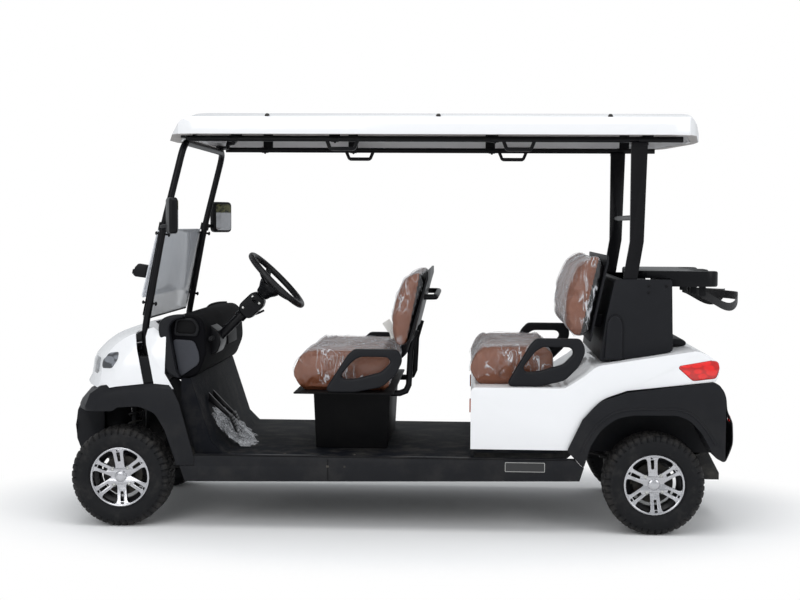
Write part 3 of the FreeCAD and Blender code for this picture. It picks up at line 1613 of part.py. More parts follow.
def front_shell():
    """Backrest shell with its bracket tubes and the rear grab bar."""
    z0 = cushion_top_z + back_bottom_gap
    shell = back_shell(seat_x(back_front), back_depth, z0, back_top_z, shell_share, shell_half)
    foot_x = shell_x_at(z0) + bracket_radius
    top_z = z0 + bracket_bend * 2
    plate_low = cushion_bottom_z - seat_gap - base_plate_wall
    tubes = []
    for side in (-1, 1):
        y = side * bracket_y
        end = seat_x(pedestal_back) + seat_gap
        points = [V(shell_x_at(top_z) + bracket_radius, y, top_z), V(foot_x, y, z0),
                  V(foot_x - overrun / 2, y, plate_low - bracket_radius - seat_gap),
                  V(end, y, plate_low - bracket_radius - seat_gap)]
        tubes.append(bent_bar(points, bracket_radius, bracket_bend))
    bar_x = shell_x_at(grab_z) + grab_reach
    grab = [V(shell_x_at(grab_z), -grab_half, grab_z), V(bar_x, -grab_half, grab_z),
            V(bar_x, grab_half, grab_z), V(shell_x_at(grab_z), grab_half, grab_z)]
    return joined([shell] + tubes + [bent_bar(grab, grab_radius, bracket_bend)])


def shell_x_at(z):
    """Back face of the front seat's shell at a height, halfway through its wall."""
    z0 = cushion_top_z + back_bottom_gap
    line = in_box(shell_share, seat_x(back_front), seat_x(back_front) + back_depth, z0, back_top_z)
    share = (z - line[0][1]) / (line[1][1] - line[0][1])
    return middle_on(line[0][0], share, line[1][0]) + seat_gap + shell_wall / 2


def armrest(x0, z0, height, length_x):
    """Closed loop armrest with its sloping front."""
    outer_line = in_box(rest_outer_share, x0, x0 + length_x, z0, z0 + height)
    inner_line = in_box(rest_inner_share, x0, x0 + length_x, z0, z0 + height)
    outer = prism(outer_line, "xz", -rest_y - rest_wall, -rest_y)
    inner = prism(inner_line, "xz", -rest_y - rest_wall - overrun, -rest_y + overrun)
    return outer.cut(inner)


def front_rest():
    return armrest(seat_x(rest_start), cushion_bottom_z, rest_height, rest_length)


def rear_rest():
    return armrest(rear_x - rear_rest_start, tub_seat_z() + seat_gap, rear_rest_height, rest_length)


def tub_seat_z():
    """Height of the rear body's ledge under the rear cushion."""
    return middle_on(tub_bottom_z, tub_share[2][1], tub_top_z)


def rear_cushion():
    x0 = rear_x - rear_seat_front
    z0 = tub_seat_z() + seat_gap
    return cushion(x0, x0 + rear_seat_length - rear_back_room, z0, z0 + rear_cushion_height, seat_half)


def rear_shell():
    """Rear backrest shell with two brackets back to the bag well."""
    shell = back_shell(rear_x - rear_back_front, rear_back_depth, rear_back_bottom_z, rear_back_top_z,
                       rear_shell_share, shell_half)
    front = rear_x - rear_back_front + rear_back_depth * rear_shell_share[0][0]
    room = Part.Face(outline_face(well_points(), "xz", -well_half).OuterWire.makeOffset2D(seat_gap))
    room = room.extrude(V(0.0, well_half * 2, 0.0))
    back = prism(back_line(), "xz", -well_half, well_half)
    pieces = [shell]
    for side in (-1, 1):
        y = side * rear_bracket_y
        arm = block(front, front + rear_bracket_reach, y - rear_bracket_width / 2, y + rear_bracket_width / 2,
                    rear_bracket_low_z, rear_bracket_high_z)
        pieces.append(arm.cut(room).cut(back))
    return joined(pieces)


def back_line():
    """Room of the rear backrest itself, in side view."""
    x0 = rear_x - rear_back_front
    line = in_box(rear_shell_share, x0, x0 + rear_back_depth, rear_back_bottom_z, rear_back_top_z)
    points = [(point[0] + seat_gap, point[1]) for point in line]
    return points + [(x0, rear_back_top_z), (x0, rear_back_bottom_z)]


# Rear body

def tub_points():
    return in_box(tub_share, rear_x - tub_front, rear_x + tub_back, tub_bottom_z, tub_top_z)


def tub_room(gap):
    """Space of the rear body, grown by a gap."""
    face = outline_face(tub_points(), "xz", -tub_half - gap)
    grown = Part.Face(face.OuterWire.makeOffset2D(gap))
    return grown.extrude(V(0.0, tub_half * 2 + gap * 2, 0.0))


def rear_body():
    """White rear body shell, open below, with the tail lamps let into its corners."""
    points = tub_points()
    outer = prism(points, "xz", -tub_half, tub_half)
    inner = inner_prism(points, "xz", -tub_half + tub_wall, tub_half - tub_wall, tub_wall)
    inside = tub_half - tub_wall
    low = block(rear_x - tub_front + tub_wall, rear_x - flare_front, -inside, inside, tub_bottom_z - overrun,
                tub_bottom_z + overrun)
    shell = outer.cut(inner).cut(low)
    lamp = tail_form(lamp_gap)
    return shell.cut(lamp).cut(other_side(lamp))


def tail_form(gap):
    points = in_box(tail_share, rear_x + tail_front, rear_x + tail_back, tail_bottom_z, tail_top_z)
    solid = prism(points, "xz", -tub_half - lamp_gap, -tub_half + tail_depth)
    if gap:
        face = outline_face(points, "xz", -tub_half - overrun)
        grown = Part.Face(face.OuterWire.makeOffset2D(gap))
        return grown.extrude(V(0.0, tail_depth + overrun + gap, 0.0))
    return solid


def flare_points():
    return in_box(flare_share, rear_x - flare_front, rear_x + flare_back, flare_bottom_z, flare_top_z)


def rear_fender():
    """Black moulding: two wheel arch flares and the rear bumper between them."""
    x0, x1 = rear_x - flare_front, rear_x + flare_back
    points = flare_points()
    flare = prism(points, "xz", -body_half, -body_half + flare_depth)
    flare = flare.cut(inner_prism(points, "xz", -body_half + flare_wall, -body_half + flare_depth + overrun,
                                  flare_wall))
    bumper_points = in_box(bumper_share, x0, x1, flare_bottom_z, flare_top_z)
    bumper = prism(bumper_points, "xz", -body_half, body_half)
    inside = body_half - flare_wall
    bumper = bumper.cut(inner_prism(bumper_points, "xz", -inside, inside, flare_wall))
    bumper = bumper.cut(block(x0, middle_on(x0, bumper_cut_share, x1), -inside, inside, 0.0, roof_top_z))
    plan = prism([(x0 - overrun, -body_half), (x1, -body_half, flare_corner), (x1, body_half, flare_corner),
                  (x0 - overrun, body_half)], "xy", 0.0, roof_top_z)
    house = wheel_house()
    whole = joined([flare, other_side(flare), bumper, house, other_side(house)]).common(plan)
    lamp = tail_form(lamp_gap)
    return whole.cut(tub_room(flare_gap)).cut(lamp).cut(other_side(lamp))


def wheel_house():
    """Black lining over a rear wheel: an arch inward from the flare's opening, and its inner wall."""
    opening = flare_points()[flare_outer_points:]
    depth = -house_inner_y + body_half - flare_depth + flare_wall
    inside = prism(opening, "xz", -body_half + flare_depth - flare_wall, -house_inner_y)
    face = outline_face(opening, "xz", -body_half + flare_depth - flare_wall)
    grown = Part.Face(face.OuterWire.makeOffset2D(flare_wall)).extrude(V(0.0, depth, 0.0))
    x0, x1 = rear_x - flare_front, rear_x + flare_back
    inner = -house_inner_y
    wall = grown.common(block(x0, x1, inner - flare_wall, inner, house_low_z, flare_top_z))
    band = grown.cut(inside).common(block(x0, x1, -body_half, 0.0, house_low_z, flare_top_z))
    return joined([band, wall])


# Bag well

def well_points():
    return in_box(well_share, rear_x - well_front, rear_x + well_back, tub_top_z - well_sink, well_top_z)


def bag_well():
    """Upright shell behind the rear seat, open at the top and the back."""
    x0, x1 = rear_x - well_front, rear_x + well_back
    points = well_points()
    outer = prism(points, "xz", -well_half, well_half)
    inner = inner_prism(points, "xz", -well_half + well_wall, well_half - well_wall, well_wall)
    inside = well_half - well_wall
    opening = block(middle_on(x0, well_open_share, x1), x1 + overrun, -inside, inside, tub_top_z + well_wall,
                    well_top_z + overrun)
    body = outer.cut(inner).cut(opening)
    strut = strut_room()
    body = body.cut(tub_room(seat_gap)).cut(strut).cut(other_side(strut))
    return max(body.Solids, key=lambda solid: solid.Volume)


def strut_room():
    """Hole for a strut through the well."""
    start = -strut_y - strut_wall / 2 - seat_gap
    grown = Part.Face(outline_face(strut_points(), "xz", start).OuterWire.makeOffset2D(seat_gap))
    return grown.extrude(V(0.0, strut_wall + seat_gap * 2, 0.0))


def holder_low_z():
    """Underside of the bag holder where it stands clear behind the well."""
    return well_top_z + seat_gap - holder_drop


def bag_holder():
    """Moulded bag rest with two round bays: a plate on the well's top and a deeper beam behind it."""
    x0, x1 = rear_x - holder_front, rear_x + holder_back
    step = rear_x + well_back + seat_gap
    rest = well_top_z + seat_gap
    top = rest + holder_wall
    low = holder_low_z()
    side_view = [(x0, rest, 0.0), (step, rest, 0.0), (step, low, 0.0), (x1, low, holder_round),
                 (x1, top, holder_round), (x0, top, holder_round)]
    plate = prism(side_view, "xz", -holder_half, holder_half)
    plan = [(x0, -holder_half, holder_corner), (x1, -holder_half, holder_corner),
            (x1, holder_half, holder_corner), (x0, holder_half, holder_corner)]
    plate = plate.common(prism(plan, "xy", low - overrun, top + overrun))
    for side in (-1, 1):
        y = side * bag_y
        plate = plate.cut(rod(V(x1, y, low - overrun), V(x1, y, top + overrun), bag_radius))
    return plate


def bag_straps():
    """Two strap loops that sag behind the bays."""
    root_x = rear_x + holder_back - holder_corner
    depth = (rear_overhang - holder_back + holder_corner) / math.cos(math.radians(strap_tilt))
    half = bag_radius + holder_post / 2
    top = holder_low_z() - seat_gap
    loops = []
    for side in (-1, 1):
        outer = strap_line(root_x, depth, side * bag_y, half)
        inner = strap_line(root_x, depth - strap_wall, side * bag_y, half - strap_wall)
        loop = prism(outer + inner[::-1], "xy", top - strap_width, top)
        loop.rotate(V(root_x, 0.0, top), V(0.0, 1.0, 0.0), strap_tilt)
        loops.append(loop)
    return loops


def strap_line(root_x, depth, y, half):
    """Half loop in short runs, seen from above."""
    turns = [math.pi * k / strap_runs for k in range(strap_runs + 1)]
    return [(root_x + depth * math.sin(turn), y + half * math.cos(turn)) for turn in turns]


def tie_rod():
    """Rack bar that slides in its housing, with an eye under each steering arm."""
    x, z = rack_x(), rack_z()
    end = kingpin_y - arm_in
    pieces = [rod(V(x, -end, z), V(x, end, z), rack_radius)]
    for side in (-1, 1):
        pieces.append(bar(V(x, side * end, z - rack_end_wall / 2), V(x, side * end, z + rack_end_wall / 2),
                          rack_end_radius, bar_sides))
    return joined(pieces)


def wheels():
    corners = {"front_left": (front_x, -1, True), "front_right": (front_x, 1, True),
               "rear_left": (rear_x, -1, False), "rear_right": (rear_x, 1, False)}
    for name, (x, side, steered) in corners.items():
        save("tyre_" + name, [tyre(x, side * track_half)])
        save("rim_" + name, [rim(x, side * track_half, side, steered)])


def main():
    wheels()
    save("chassis_frame", [chassis_frame()])
    save("steering_rack", [steering_rack()])
    save("floor_pan", [floor_pan()])
    save("sill_panels", both_sides(sill_panel()))
    save("battery_block", [battery_block()])
    save("pedals", [pedal(-steer_y + side * pedal_spacing / 2) for side in (-1, 1)])
    save("front_fender", [front_fender()])
    cowl, lamp = cowl_and_lamps()
    save("front_cowl", [cowl])
    save("headlights", both_sides(lamp))
    save("dashboard", [dashboard()])
    save("steering_column", [steering_column()])
    save("steering_wheel", [steering_wheel()])
    left = knuckle()
    save("knuckle_left", [left])
    save("knuckle_right", [other_side(left)])
    arms = front_arms()
    save("front_arms", arms + [other_side(arm) for arm in arms])
    save("front_springs", both_sides(spring_unit()))
    save("rear_axle", [rear_axle()])
    save("rear_springs", both_sides(leaf_spring()))
    save("tie_rod", [tie_rod()])
    save("front_hoop", [front_hoop()])
    save("windshield", windshield())
    save("mirrors", both_sides(mirror()))
    save("roof", [roof()])
    save("roof_rails", both_sides(roof_rail()))
    save("rear_struts", [rear_struts()])
    save("front_seat_base", [seat_base_front()])
    save("front_seat_cushion", [front_cushion()])
    save("front_seat_back", [front_back()])
    save("front_seat_shell", [front_shell()])
    save("front_armrests", both_sides(front_rest()))
    save("rear_seat_cushion", [rear_cushion()])
    save("rear_seat_back", [back_rest(rear_x - rear_back_front, rear_back_depth, rear_back_bottom_z,
                                      rear_back_top_z, rear_back_share, seat_half)])
    save("rear_seat_shell", [rear_shell()])
    save("rear_armrests", both_sides(rear_rest()))
    save("rear_body", [rear_body()])
    save("rear_fender", [rear_fender()])
    save("tail_lamps", both_sides(tail_form(0.0)))
    save("bag_well", [bag_well()])
    save("bag_holder", [bag_holder()])
    save("bag_straps", bag_straps())


main()
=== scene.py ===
"""A golf cart with four seats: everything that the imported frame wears."""
import math

import bmesh
import bpy
from mathutils import Matrix, Vector, bvhtree, noise


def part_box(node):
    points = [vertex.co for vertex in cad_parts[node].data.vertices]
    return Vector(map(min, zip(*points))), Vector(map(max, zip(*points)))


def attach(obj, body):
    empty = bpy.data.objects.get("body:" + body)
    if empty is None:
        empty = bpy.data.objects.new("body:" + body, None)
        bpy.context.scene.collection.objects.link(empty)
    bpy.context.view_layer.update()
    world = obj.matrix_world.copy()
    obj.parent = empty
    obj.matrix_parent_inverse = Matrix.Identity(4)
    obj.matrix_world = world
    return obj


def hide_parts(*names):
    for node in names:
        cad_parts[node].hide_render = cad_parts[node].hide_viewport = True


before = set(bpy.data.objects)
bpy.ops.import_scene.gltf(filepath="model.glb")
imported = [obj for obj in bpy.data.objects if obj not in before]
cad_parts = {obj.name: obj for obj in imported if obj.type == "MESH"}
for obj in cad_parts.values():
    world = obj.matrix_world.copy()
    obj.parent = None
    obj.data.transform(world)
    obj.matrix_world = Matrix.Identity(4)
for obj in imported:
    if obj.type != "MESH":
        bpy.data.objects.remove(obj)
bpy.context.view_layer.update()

bl_info = {
    "name": "Golf cart with four seats",
    "version": (1, 0, 0),
    "blender": (4, 5, 0),
    "location": "View3D > Sidebar > Cart",
    "description": "Builds the pieces of a four seat golf cart round its frame",
    "category": "Object",
}

FRONT_AXLE = -1.285
REAR_AXLE = 1.165
WHEEL_Y = 0.4925
WHEEL_Z = 0.229
CORNERS = (("front_left", FRONT_AXLE, -1), ("front_right", FRONT_AXLE, 1),
           ("rear_left", REAR_AXLE, -1), ("rear_right", REAR_AXLE, 1))
SIDES = (-1, 1)
POST_Y = 0.5  # hoop, roof rails and rear posts
PANE_FIXING_Y = 0.44  # the folded pane's hangers and catches
SLANT = math.sqrt(0.5)
COLUMN_Y = -0.29
STEER_CENTRE = Vector((-0.597, COLUMN_Y, 1.134))
STEER_AXIS = Vector((SLANT, 0, SLANT))
COLUMN_TOP = STEER_CENTRE - STEER_AXIS * 0.102


# Shader sums

class Wire:
    """A node's output that takes part in sums."""

    def __init__(self, sheet, socket):
        self.sheet = sheet
        self.socket = socket

    def sum(self, operation, first, second=0.0, clamp=False):
        return self.sheet.node("ShaderNodeMath", {"operation": operation, "use_clamp": clamp},
                               {0: first, 1: second})

    def __add__(self, other):
        return self.sum("ADD", self, other)

    def __radd__(self, other):
        return self.sum("ADD", other, self)

    def __sub__(self, other):
        return self.sum("SUBTRACT", self, other)

    def __rsub__(self, other):
        return self.sum("SUBTRACT", other, self)

    def __mul__(self, other):
        return self.sum("MULTIPLY", self, other)

    def __rmul__(self, other):
        return self.sum("MULTIPLY", other, self)

    def __pow__(self, other):
        return self.sum("POWER", self, other)

    def __rpow__(self, other):
        return self.sum("POWER", other, self)

    def capped(self):
        return self.sum("ADD", self, 0.0, True)

    def size(self):
        return self.sum("ABSOLUTE", self)

    def or_larger(self, other):
        return self.sum("MAXIMUM", self, other)

    def wave(self, turns):
        return self.sum("SINE", self * (2 * math.pi * turns))

    def above(self, low, high):
        """0 below low, 1 above high, and smooth between them."""
        return self.sheet.node("ShaderNodeMapRange", {"interpolation_type": "SMOOTHSTEP"},
                               {"Value": self, "From Min": low, "From Max": high})


class Sheet:
    """The nodes of a material or of the world."""

    def __init__(self, owner, output):
        owner.use_nodes = True
        self.tree = owner.node_tree
        self.tree.nodes.clear()
        self.out = self.tree.nodes.new(output).inputs[0]

    def node(self, kind, settings=None, sockets=None, out=0):
        made = self.tree.nodes.new(kind)
        for name, value in (settings or {}).items():
            setattr(made, name, value)
        for key, value in (sockets or {}).items():
            self.feed(made.inputs[key], value)
        return Wire(self, made.outputs[out])

    def feed(self, socket, value):
        if isinstance(value, Wire):
            self.tree.links.new(value.socket, socket)
        elif isinstance(value, tuple) and socket.type == "RGBA":
            socket.default_value = (*value, 1.0)
        else:
            socket.default_value = value


class Paint(Sheet):
    """One material with the sockets that its finish needs."""
    SOCKETS = {"colour": "Base Color", "rough": "Roughness", "metal": "Metallic", "coat": "Coat Weight",
               "coat_rough": "Coat Roughness", "alpha": "Alpha", "bump": "Normal",
               "shine": "Specular IOR Level", "sheen": "Sheen Weight",
               "glow": "Emission Color", "glow_power": "Emission Strength"}

    def __init__(self, name):
        self.material = bpy.data.materials.new(name)
        super().__init__(self.material, "ShaderNodeOutputMaterial")
        skin = self.tree.nodes.new("ShaderNodeBsdfPrincipled")
        self.skin = skin.inputs
        self.surface = Wire(self, skin.outputs[0])
        self.feed(self.out, self.surface)
        self.space = self.node("ShaderNodeTexCoord", out="Object")

    def wear(self, **values):
        """Feeds the finish's sockets and gives its material."""
        for key, value in values.items():
            self.feed(self.skin[self.SOCKETS[key]], value)
        return self.material

    def noise(self, scale, detail=3.0, rough=0.5, where=None, warp=0.0):
        return self.node("ShaderNodeTexNoise", None,
                         {"Vector": where or self.space, "Scale": scale, "Detail": detail, "Roughness": rough,
                          "Distortion": warp})

    def cells(self, scale, feature="F1", where=None):
        return self.node("ShaderNodeTexVoronoi", {"feature": feature},
                         {"Vector": where or self.space, "Scale": scale})

    def blend(self, factor, first, second):
        return self.node("ShaderNodeMix", {"data_type": "RGBA"}, {0: factor, 6: first, 7: second}, 2)

    def axis(self, name):
        return self.node("ShaderNodeSeparateXYZ", None, {0: self.space}, name)

    def facing(self, name):
        """How far the surface looks along one axis."""
        normal = self.node("ShaderNodeTexCoord", out="Normal")
        return self.node("ShaderNodeSeparateXYZ", None, {0: normal}, name)

    def stretched(self, amounts):
        return self.node("ShaderNodeMapping", None, {"Vector": self.space, "Scale": amounts})

    def bumped(self, height, depth, strength):
        return self.node("ShaderNodeBump", None, {"Height": height, "Distance": depth, "Strength": strength})

    def from_axle(self):
        """The distance from the axle of the front or rear wheels, whichever are nearer."""
        x, z = self.axis("X"), self.axis("Z")
        rear = x.above(-0.2, 0.2)
        along = x - (rear * REAR_AXLE + (1 - rear) * FRONT_AXLE)
        high = z - WHEEL_Z
        return (along * along + high * high) ** 0.5


def shade(colour, factor):
    return tuple(min(1.0, channel * factor) for channel in colour)


def dust_on(paint, colour, amount, top=0.75):
    """Fine dust on upper faces and low down: the dusty colour, and how thick the dust lies."""
    low = 1 - paint.axis("Z").above(0.05, top)
    up = paint.facing("Z").above(0.2, 0.95)
    specks = paint.noise(9.0, 6.0, 0.65).above(0.42, 0.72)
    film = ((low * 0.6 + up * 0.5) * specks * amount).capped()
    return paint.blend(film, colour, (0.36, 0.33, 0.28)), film


def gel_coat(name, colour):
    """Glossy white body panels with a faint orange peel."""
    paint = Paint(name)
    cloud = paint.noise(2.2, 2.0)
    tone = paint.blend(cloud, shade(colour, 0.985), shade(colour, 1.01))
    tone, film = dust_on(paint, tone, 0.10, 0.55)
    peel = paint.noise(420.0, 1.0)
    return paint.wear(colour=tone, rough=0.16 + cloud * 0.08 + film * 0.5, coat=0.55, coat_rough=0.04,
                      bump=paint.bumped(peel, 0.00006, 0.5))


def moulded(name, colour, rough, grain, depth, dust, coat=0.0, shine=0.22):
    """Moulded plastic with a fine leather-like grain."""
    paint = Paint(name)
    pits = paint.cells(grain, "SMOOTH_F1")
    cloud = paint.noise(14.0, 4.0)
    tone = paint.blend(cloud, shade(colour, 0.82), shade(colour, 1.2))
    tone, film = dust_on(paint, tone, dust)
    scuff = paint.noise(60.0, 5.0, 0.7, paint.stretched((1.0, 1.0, 4.0))).above(0.62, 0.74)
    return paint.wear(colour=tone, rough=rough + cloud * 0.1 + film * 0.3 - scuff * 0.06, coat=coat,
                      coat_rough=0.25, shine=shine, bump=paint.bumped(pits, depth, 0.6))


def painted_steel(name, colour, rough, dust, shine=0.3):
    """Paint on steel, with dust and a few stone chips."""
    paint = Paint(name)
    peel = paint.noise(260.0, 2.0)
    cloud = paint.noise(20.0, 4.0)
    tone, film = dust_on(paint, paint.blend(cloud, shade(colour, 0.8), shade(colour, 1.3)), dust)
    chips = paint.noise(75.0, 3.0, 0.6).above(0.77, 0.8)
    tone = paint.blend(chips * 0.35, tone, (0.1, 0.095, 0.09))
    return paint.wear(colour=tone, rough=rough + cloud * 0.1 + film * 0.4 + chips * 0.2, coat=0.03,
                      coat_rough=0.15, shine=shine, bump=paint.bumped(peel - chips * 0.7, 0.00012, 0.6))


def cast_iron(name, colour):
    """Rough castings with spots of rust under dust."""
    paint = Paint(name)
    lumps = paint.noise(180.0, 5.0, 0.7)
    rust = paint.noise(16.0, 5.0, 0.65).above(0.55, 0.7)
    tone = dust_on(paint, paint.blend(rust * 0.45, colour, (0.12, 0.06, 0.035)), 0.5)[0]
    return paint.wear(colour=tone, rough=0.62 + lumps * 0.2, metal=0.35,
                      bump=paint.bumped(lumps, 0.0006, 0.7))


def bare_metal(name, colour, rough):
    """Bare metal with fine tool marks and a thin haze."""
    paint = Paint(name)
    marks = paint.noise(700.0, 3.0, 0.6)
    haze = paint.noise(30.0, 4.0)
    return paint.wear(colour=paint.blend(haze, shade(colour, 0.88), shade(colour, 1.05)), metal=1.0,
                      rough=rough + marks * 0.12 + haze * 0.08, bump=paint.bumped(marks, 0.00004, 0.4))


def machined_rings(name, colour):
    """Alloy turned on a lathe: rings round the wheel's axle."""
    paint = Paint(name)
    rings = paint.from_axle().wave(900.0)
    haze = paint.noise(40.0, 4.0)
    return paint.wear(colour=paint.blend(haze, shade(colour, 0.86), shade(colour, 1.06)), metal=1.0,
                      rough=0.2 + haze * 0.14, bump=paint.bumped(rings, 0.00003, 0.35))


def tyre_rubber(name, colour):
    """Rubber with fine rings on the side walls, and dust in the tread."""
    paint = Paint(name)
    radius = paint.from_axle()
    rib = radius.wave(260.0) * (1 - radius.above(0.196, 0.2)) * radius.above(0.14, 0.15)
    grit = paint.noise(500.0, 4.0, 0.7)
    dust = (radius.above(0.2, 0.226) * paint.noise(26.0, 6.0, 0.7).above(0.3, 0.7) * 0.5
            + paint.noise(11.0, 5.0, 0.7).above(0.5, 0.75) * 0.25).capped()
    tone = paint.blend(dust * 0.5, colour, (0.13, 0.12, 0.11))
    return paint.wear(colour=tone, rough=0.50 + grit * 0.16 + dust * 0.15, shine=0.17,
                      bump=paint.bumped(rib * 0.35 + grit, 0.00035, 0.7))


def seat_leather(name, colour):
    """Leather with creases between its grains, darker in the creases."""
    paint = Paint(name)
    crease = paint.cells(330.0, "DISTANCE_TO_EDGE")
    pores = paint.noise(1500.0, 2.0)
    cloud = paint.noise(7.0, 5.0, 0.6)
    tone = paint.blend(cloud, shade(colour, 0.72), shade(colour, 1.28))
    tone = paint.blend((1 - crease.above(0.0, 0.12)) * 0.35, tone, shade(colour, 0.45))
    return paint.wear(colour=tone, rough=0.36 + cloud * 0.14, coat=0.12, coat_rough=0.3,
                      bump=paint.bumped(crease.above(0.0, 0.2) + pores * 0.25, 0.00022, 0.8))


def crinkled_film(name, veil=0.03, run=(1.0, 0.75, 0.3)):
    """Clear wrapping film: nearly nothing seen face on, with painted white highlights along its long creases
    and a painted sheen where it is seen edge on.
    """
    paint = Paint(name)
    patch = paint.noise(4.0, 2.0, 0.5, None, 0.6)
    long_folds = paint.noise(21.0, 2.0, 0.5, paint.stretched(run), 1.0)
    short_folds = paint.noise(46.0, 2.0, 0.5, paint.stretched((1.0, 0.5, 0.35)), 0.8)
    # Painted highlights: white streaks along the long and short folds
    ridge_highlight = (1 - ((long_folds - 0.5).size() * 30).capped()) * patch.above(0.44, 0.6)
    fine = (1 - ((short_folds - 0.5).size() * 26).capped()) * patch.above(0.5, 0.66)
    crease = (ridge_highlight * 0.95 + fine * 0.55).capped()
    # haze here is a painted sheen: the film turns whiter the more edge on it is seen
    haze = paint.node("ShaderNodeLayerWeight", None, {"Blend": 0.32}, "Facing") ** 2.2
    return paint.wear(colour=(0.90, 0.92, 0.96), rough=0.08 + patch * 0.12, shine=0.7,
                      alpha=(veil + crease * 0.7 + haze * 0.55).capped(),
                      bump=paint.bumped(long_folds * 0.8 + short_folds * 0.35, 0.012, 1.0))


def clear_pane(name, colour, alpha):
    """A pane under its milky protective film, with faint smears, and a painted sheen that makes it paler
    where it is seen at a slant.
    """
    paint = Paint(name)
    smear = paint.noise(7.0, 5.0, 0.6, paint.stretched((1.0, 1.0, 0.4)))
    # Painted reflection: the pane's pale colour covers more where it is seen at a slant
    painted_gloss = paint.node("ShaderNodeFresnel", None, {"IOR": 1.45})
    return paint.wear(colour=paint.blend(smear, shade(colour, 0.94), shade(colour, 1.04)),
                      rough=0.06 + smear * 0.1, shine=0.3,
                      alpha=(alpha + smear * 0.04 + painted_gloss * 0.15).capped())


def lens(name, colour, glow, deep):
    """Moulded lamp lens with facets painted lighter at their middles as highlights, painted shade over the
    chambers inside, and a painted glow of its own colour as strong as glow; deep sets how dark the painted
    shade is.
    """
    paint = Paint(name)
    facets = paint.cells(46.0)
    # Painted shade: the lens darkens where the lamp's chambers lie behind it
    chamber_shade = paint.cells(21.0, "F1", paint.stretched((1.0, 1.0, 1.7))).above(0.42, 0.62)
    cloud = paint.noise(12.0, 3.0)
    # Painted highlights: each facet is lighter at its middle and darker at its edge
    tone = paint.blend(facets * 0.5, shade(colour, 1.25), shade(colour, 0.8))
    # Painted light: the lens gives off light of its own colour
    return paint.wear(colour=paint.blend(chamber_shade * deep, tone, shade(colour, 0.16)),
                      rough=0.06 + cloud * 0.05, coat=0.45, coat_rough=0.02, glow=colour, glow_power=glow,
                      bump=paint.bumped(facets, 0.0012, 0.6))


def mirror_glass(name):
    """Mirror glass with a painted reflection in its colour: a dark hedge over pale ground."""
    paint = Paint(name)
    haze = paint.noise(30.0, 4.0)
    reflected_hedge = paint.noise(46.0, 4.0, 0.6)
    # Painted reflection: dark foliage over the upper part of the glass, pale ground below
    high = (paint.axis("Z") + reflected_hedge * 0.010).above(1.462, 1.468)
    reflected_leaves = paint.blend(reflected_hedge.above(0.4, 0.6), (0.012, 0.016, 0.006), (0.10, 0.10, 0.04))
    return paint.wear(colour=paint.blend(high, (0.42, 0.43, 0.45), reflected_leaves), metal=0.35,
                      rough=0.05 + haze * 0.05)


def woven_strap(name, colour):
    """Webbing with its weave and a little fuzz."""
    paint = Paint(name)
    weave = (paint.axis("X").wave(420.0) * paint.axis("Y").wave(420.0)) * 0.5 + 0.5
    fuzz = paint.noise(240.0, 4.0)
    return paint.wear(colour=paint.blend(fuzz, shade(colour, 0.7), shade(colour, 1.6)),
                      rough=0.75 + fuzz * 0.15, sheen=0.25,
                      bump=paint.bumped(weave + fuzz * 0.3, 0.0004, 0.8))


def ribbed_mat(name, colour):
    """A rubber mat with ribs along the cart, the ribs' tops painted lighter and the grooves between them
    painted darker as light and shade.
    """
    paint = Paint(name)
    ribs = paint.axis("Y").wave(62.0).above(-0.35, 0.35)
    grit = paint.noise(330.0, 4.0)
    # Painted light and shade: rib tops lighter, grooves darker
    tone, film = dust_on(paint, paint.blend(ribs, shade(colour, 0.7), shade(colour, 1.2)), 0.1, 1.0)
    return paint.wear(colour=tone, rough=0.56 + grit * 0.2 + film * 0.2, shine=0.06,
                      bump=paint.bumped(ribs + grit * 0.2, 0.0016, 0.7))


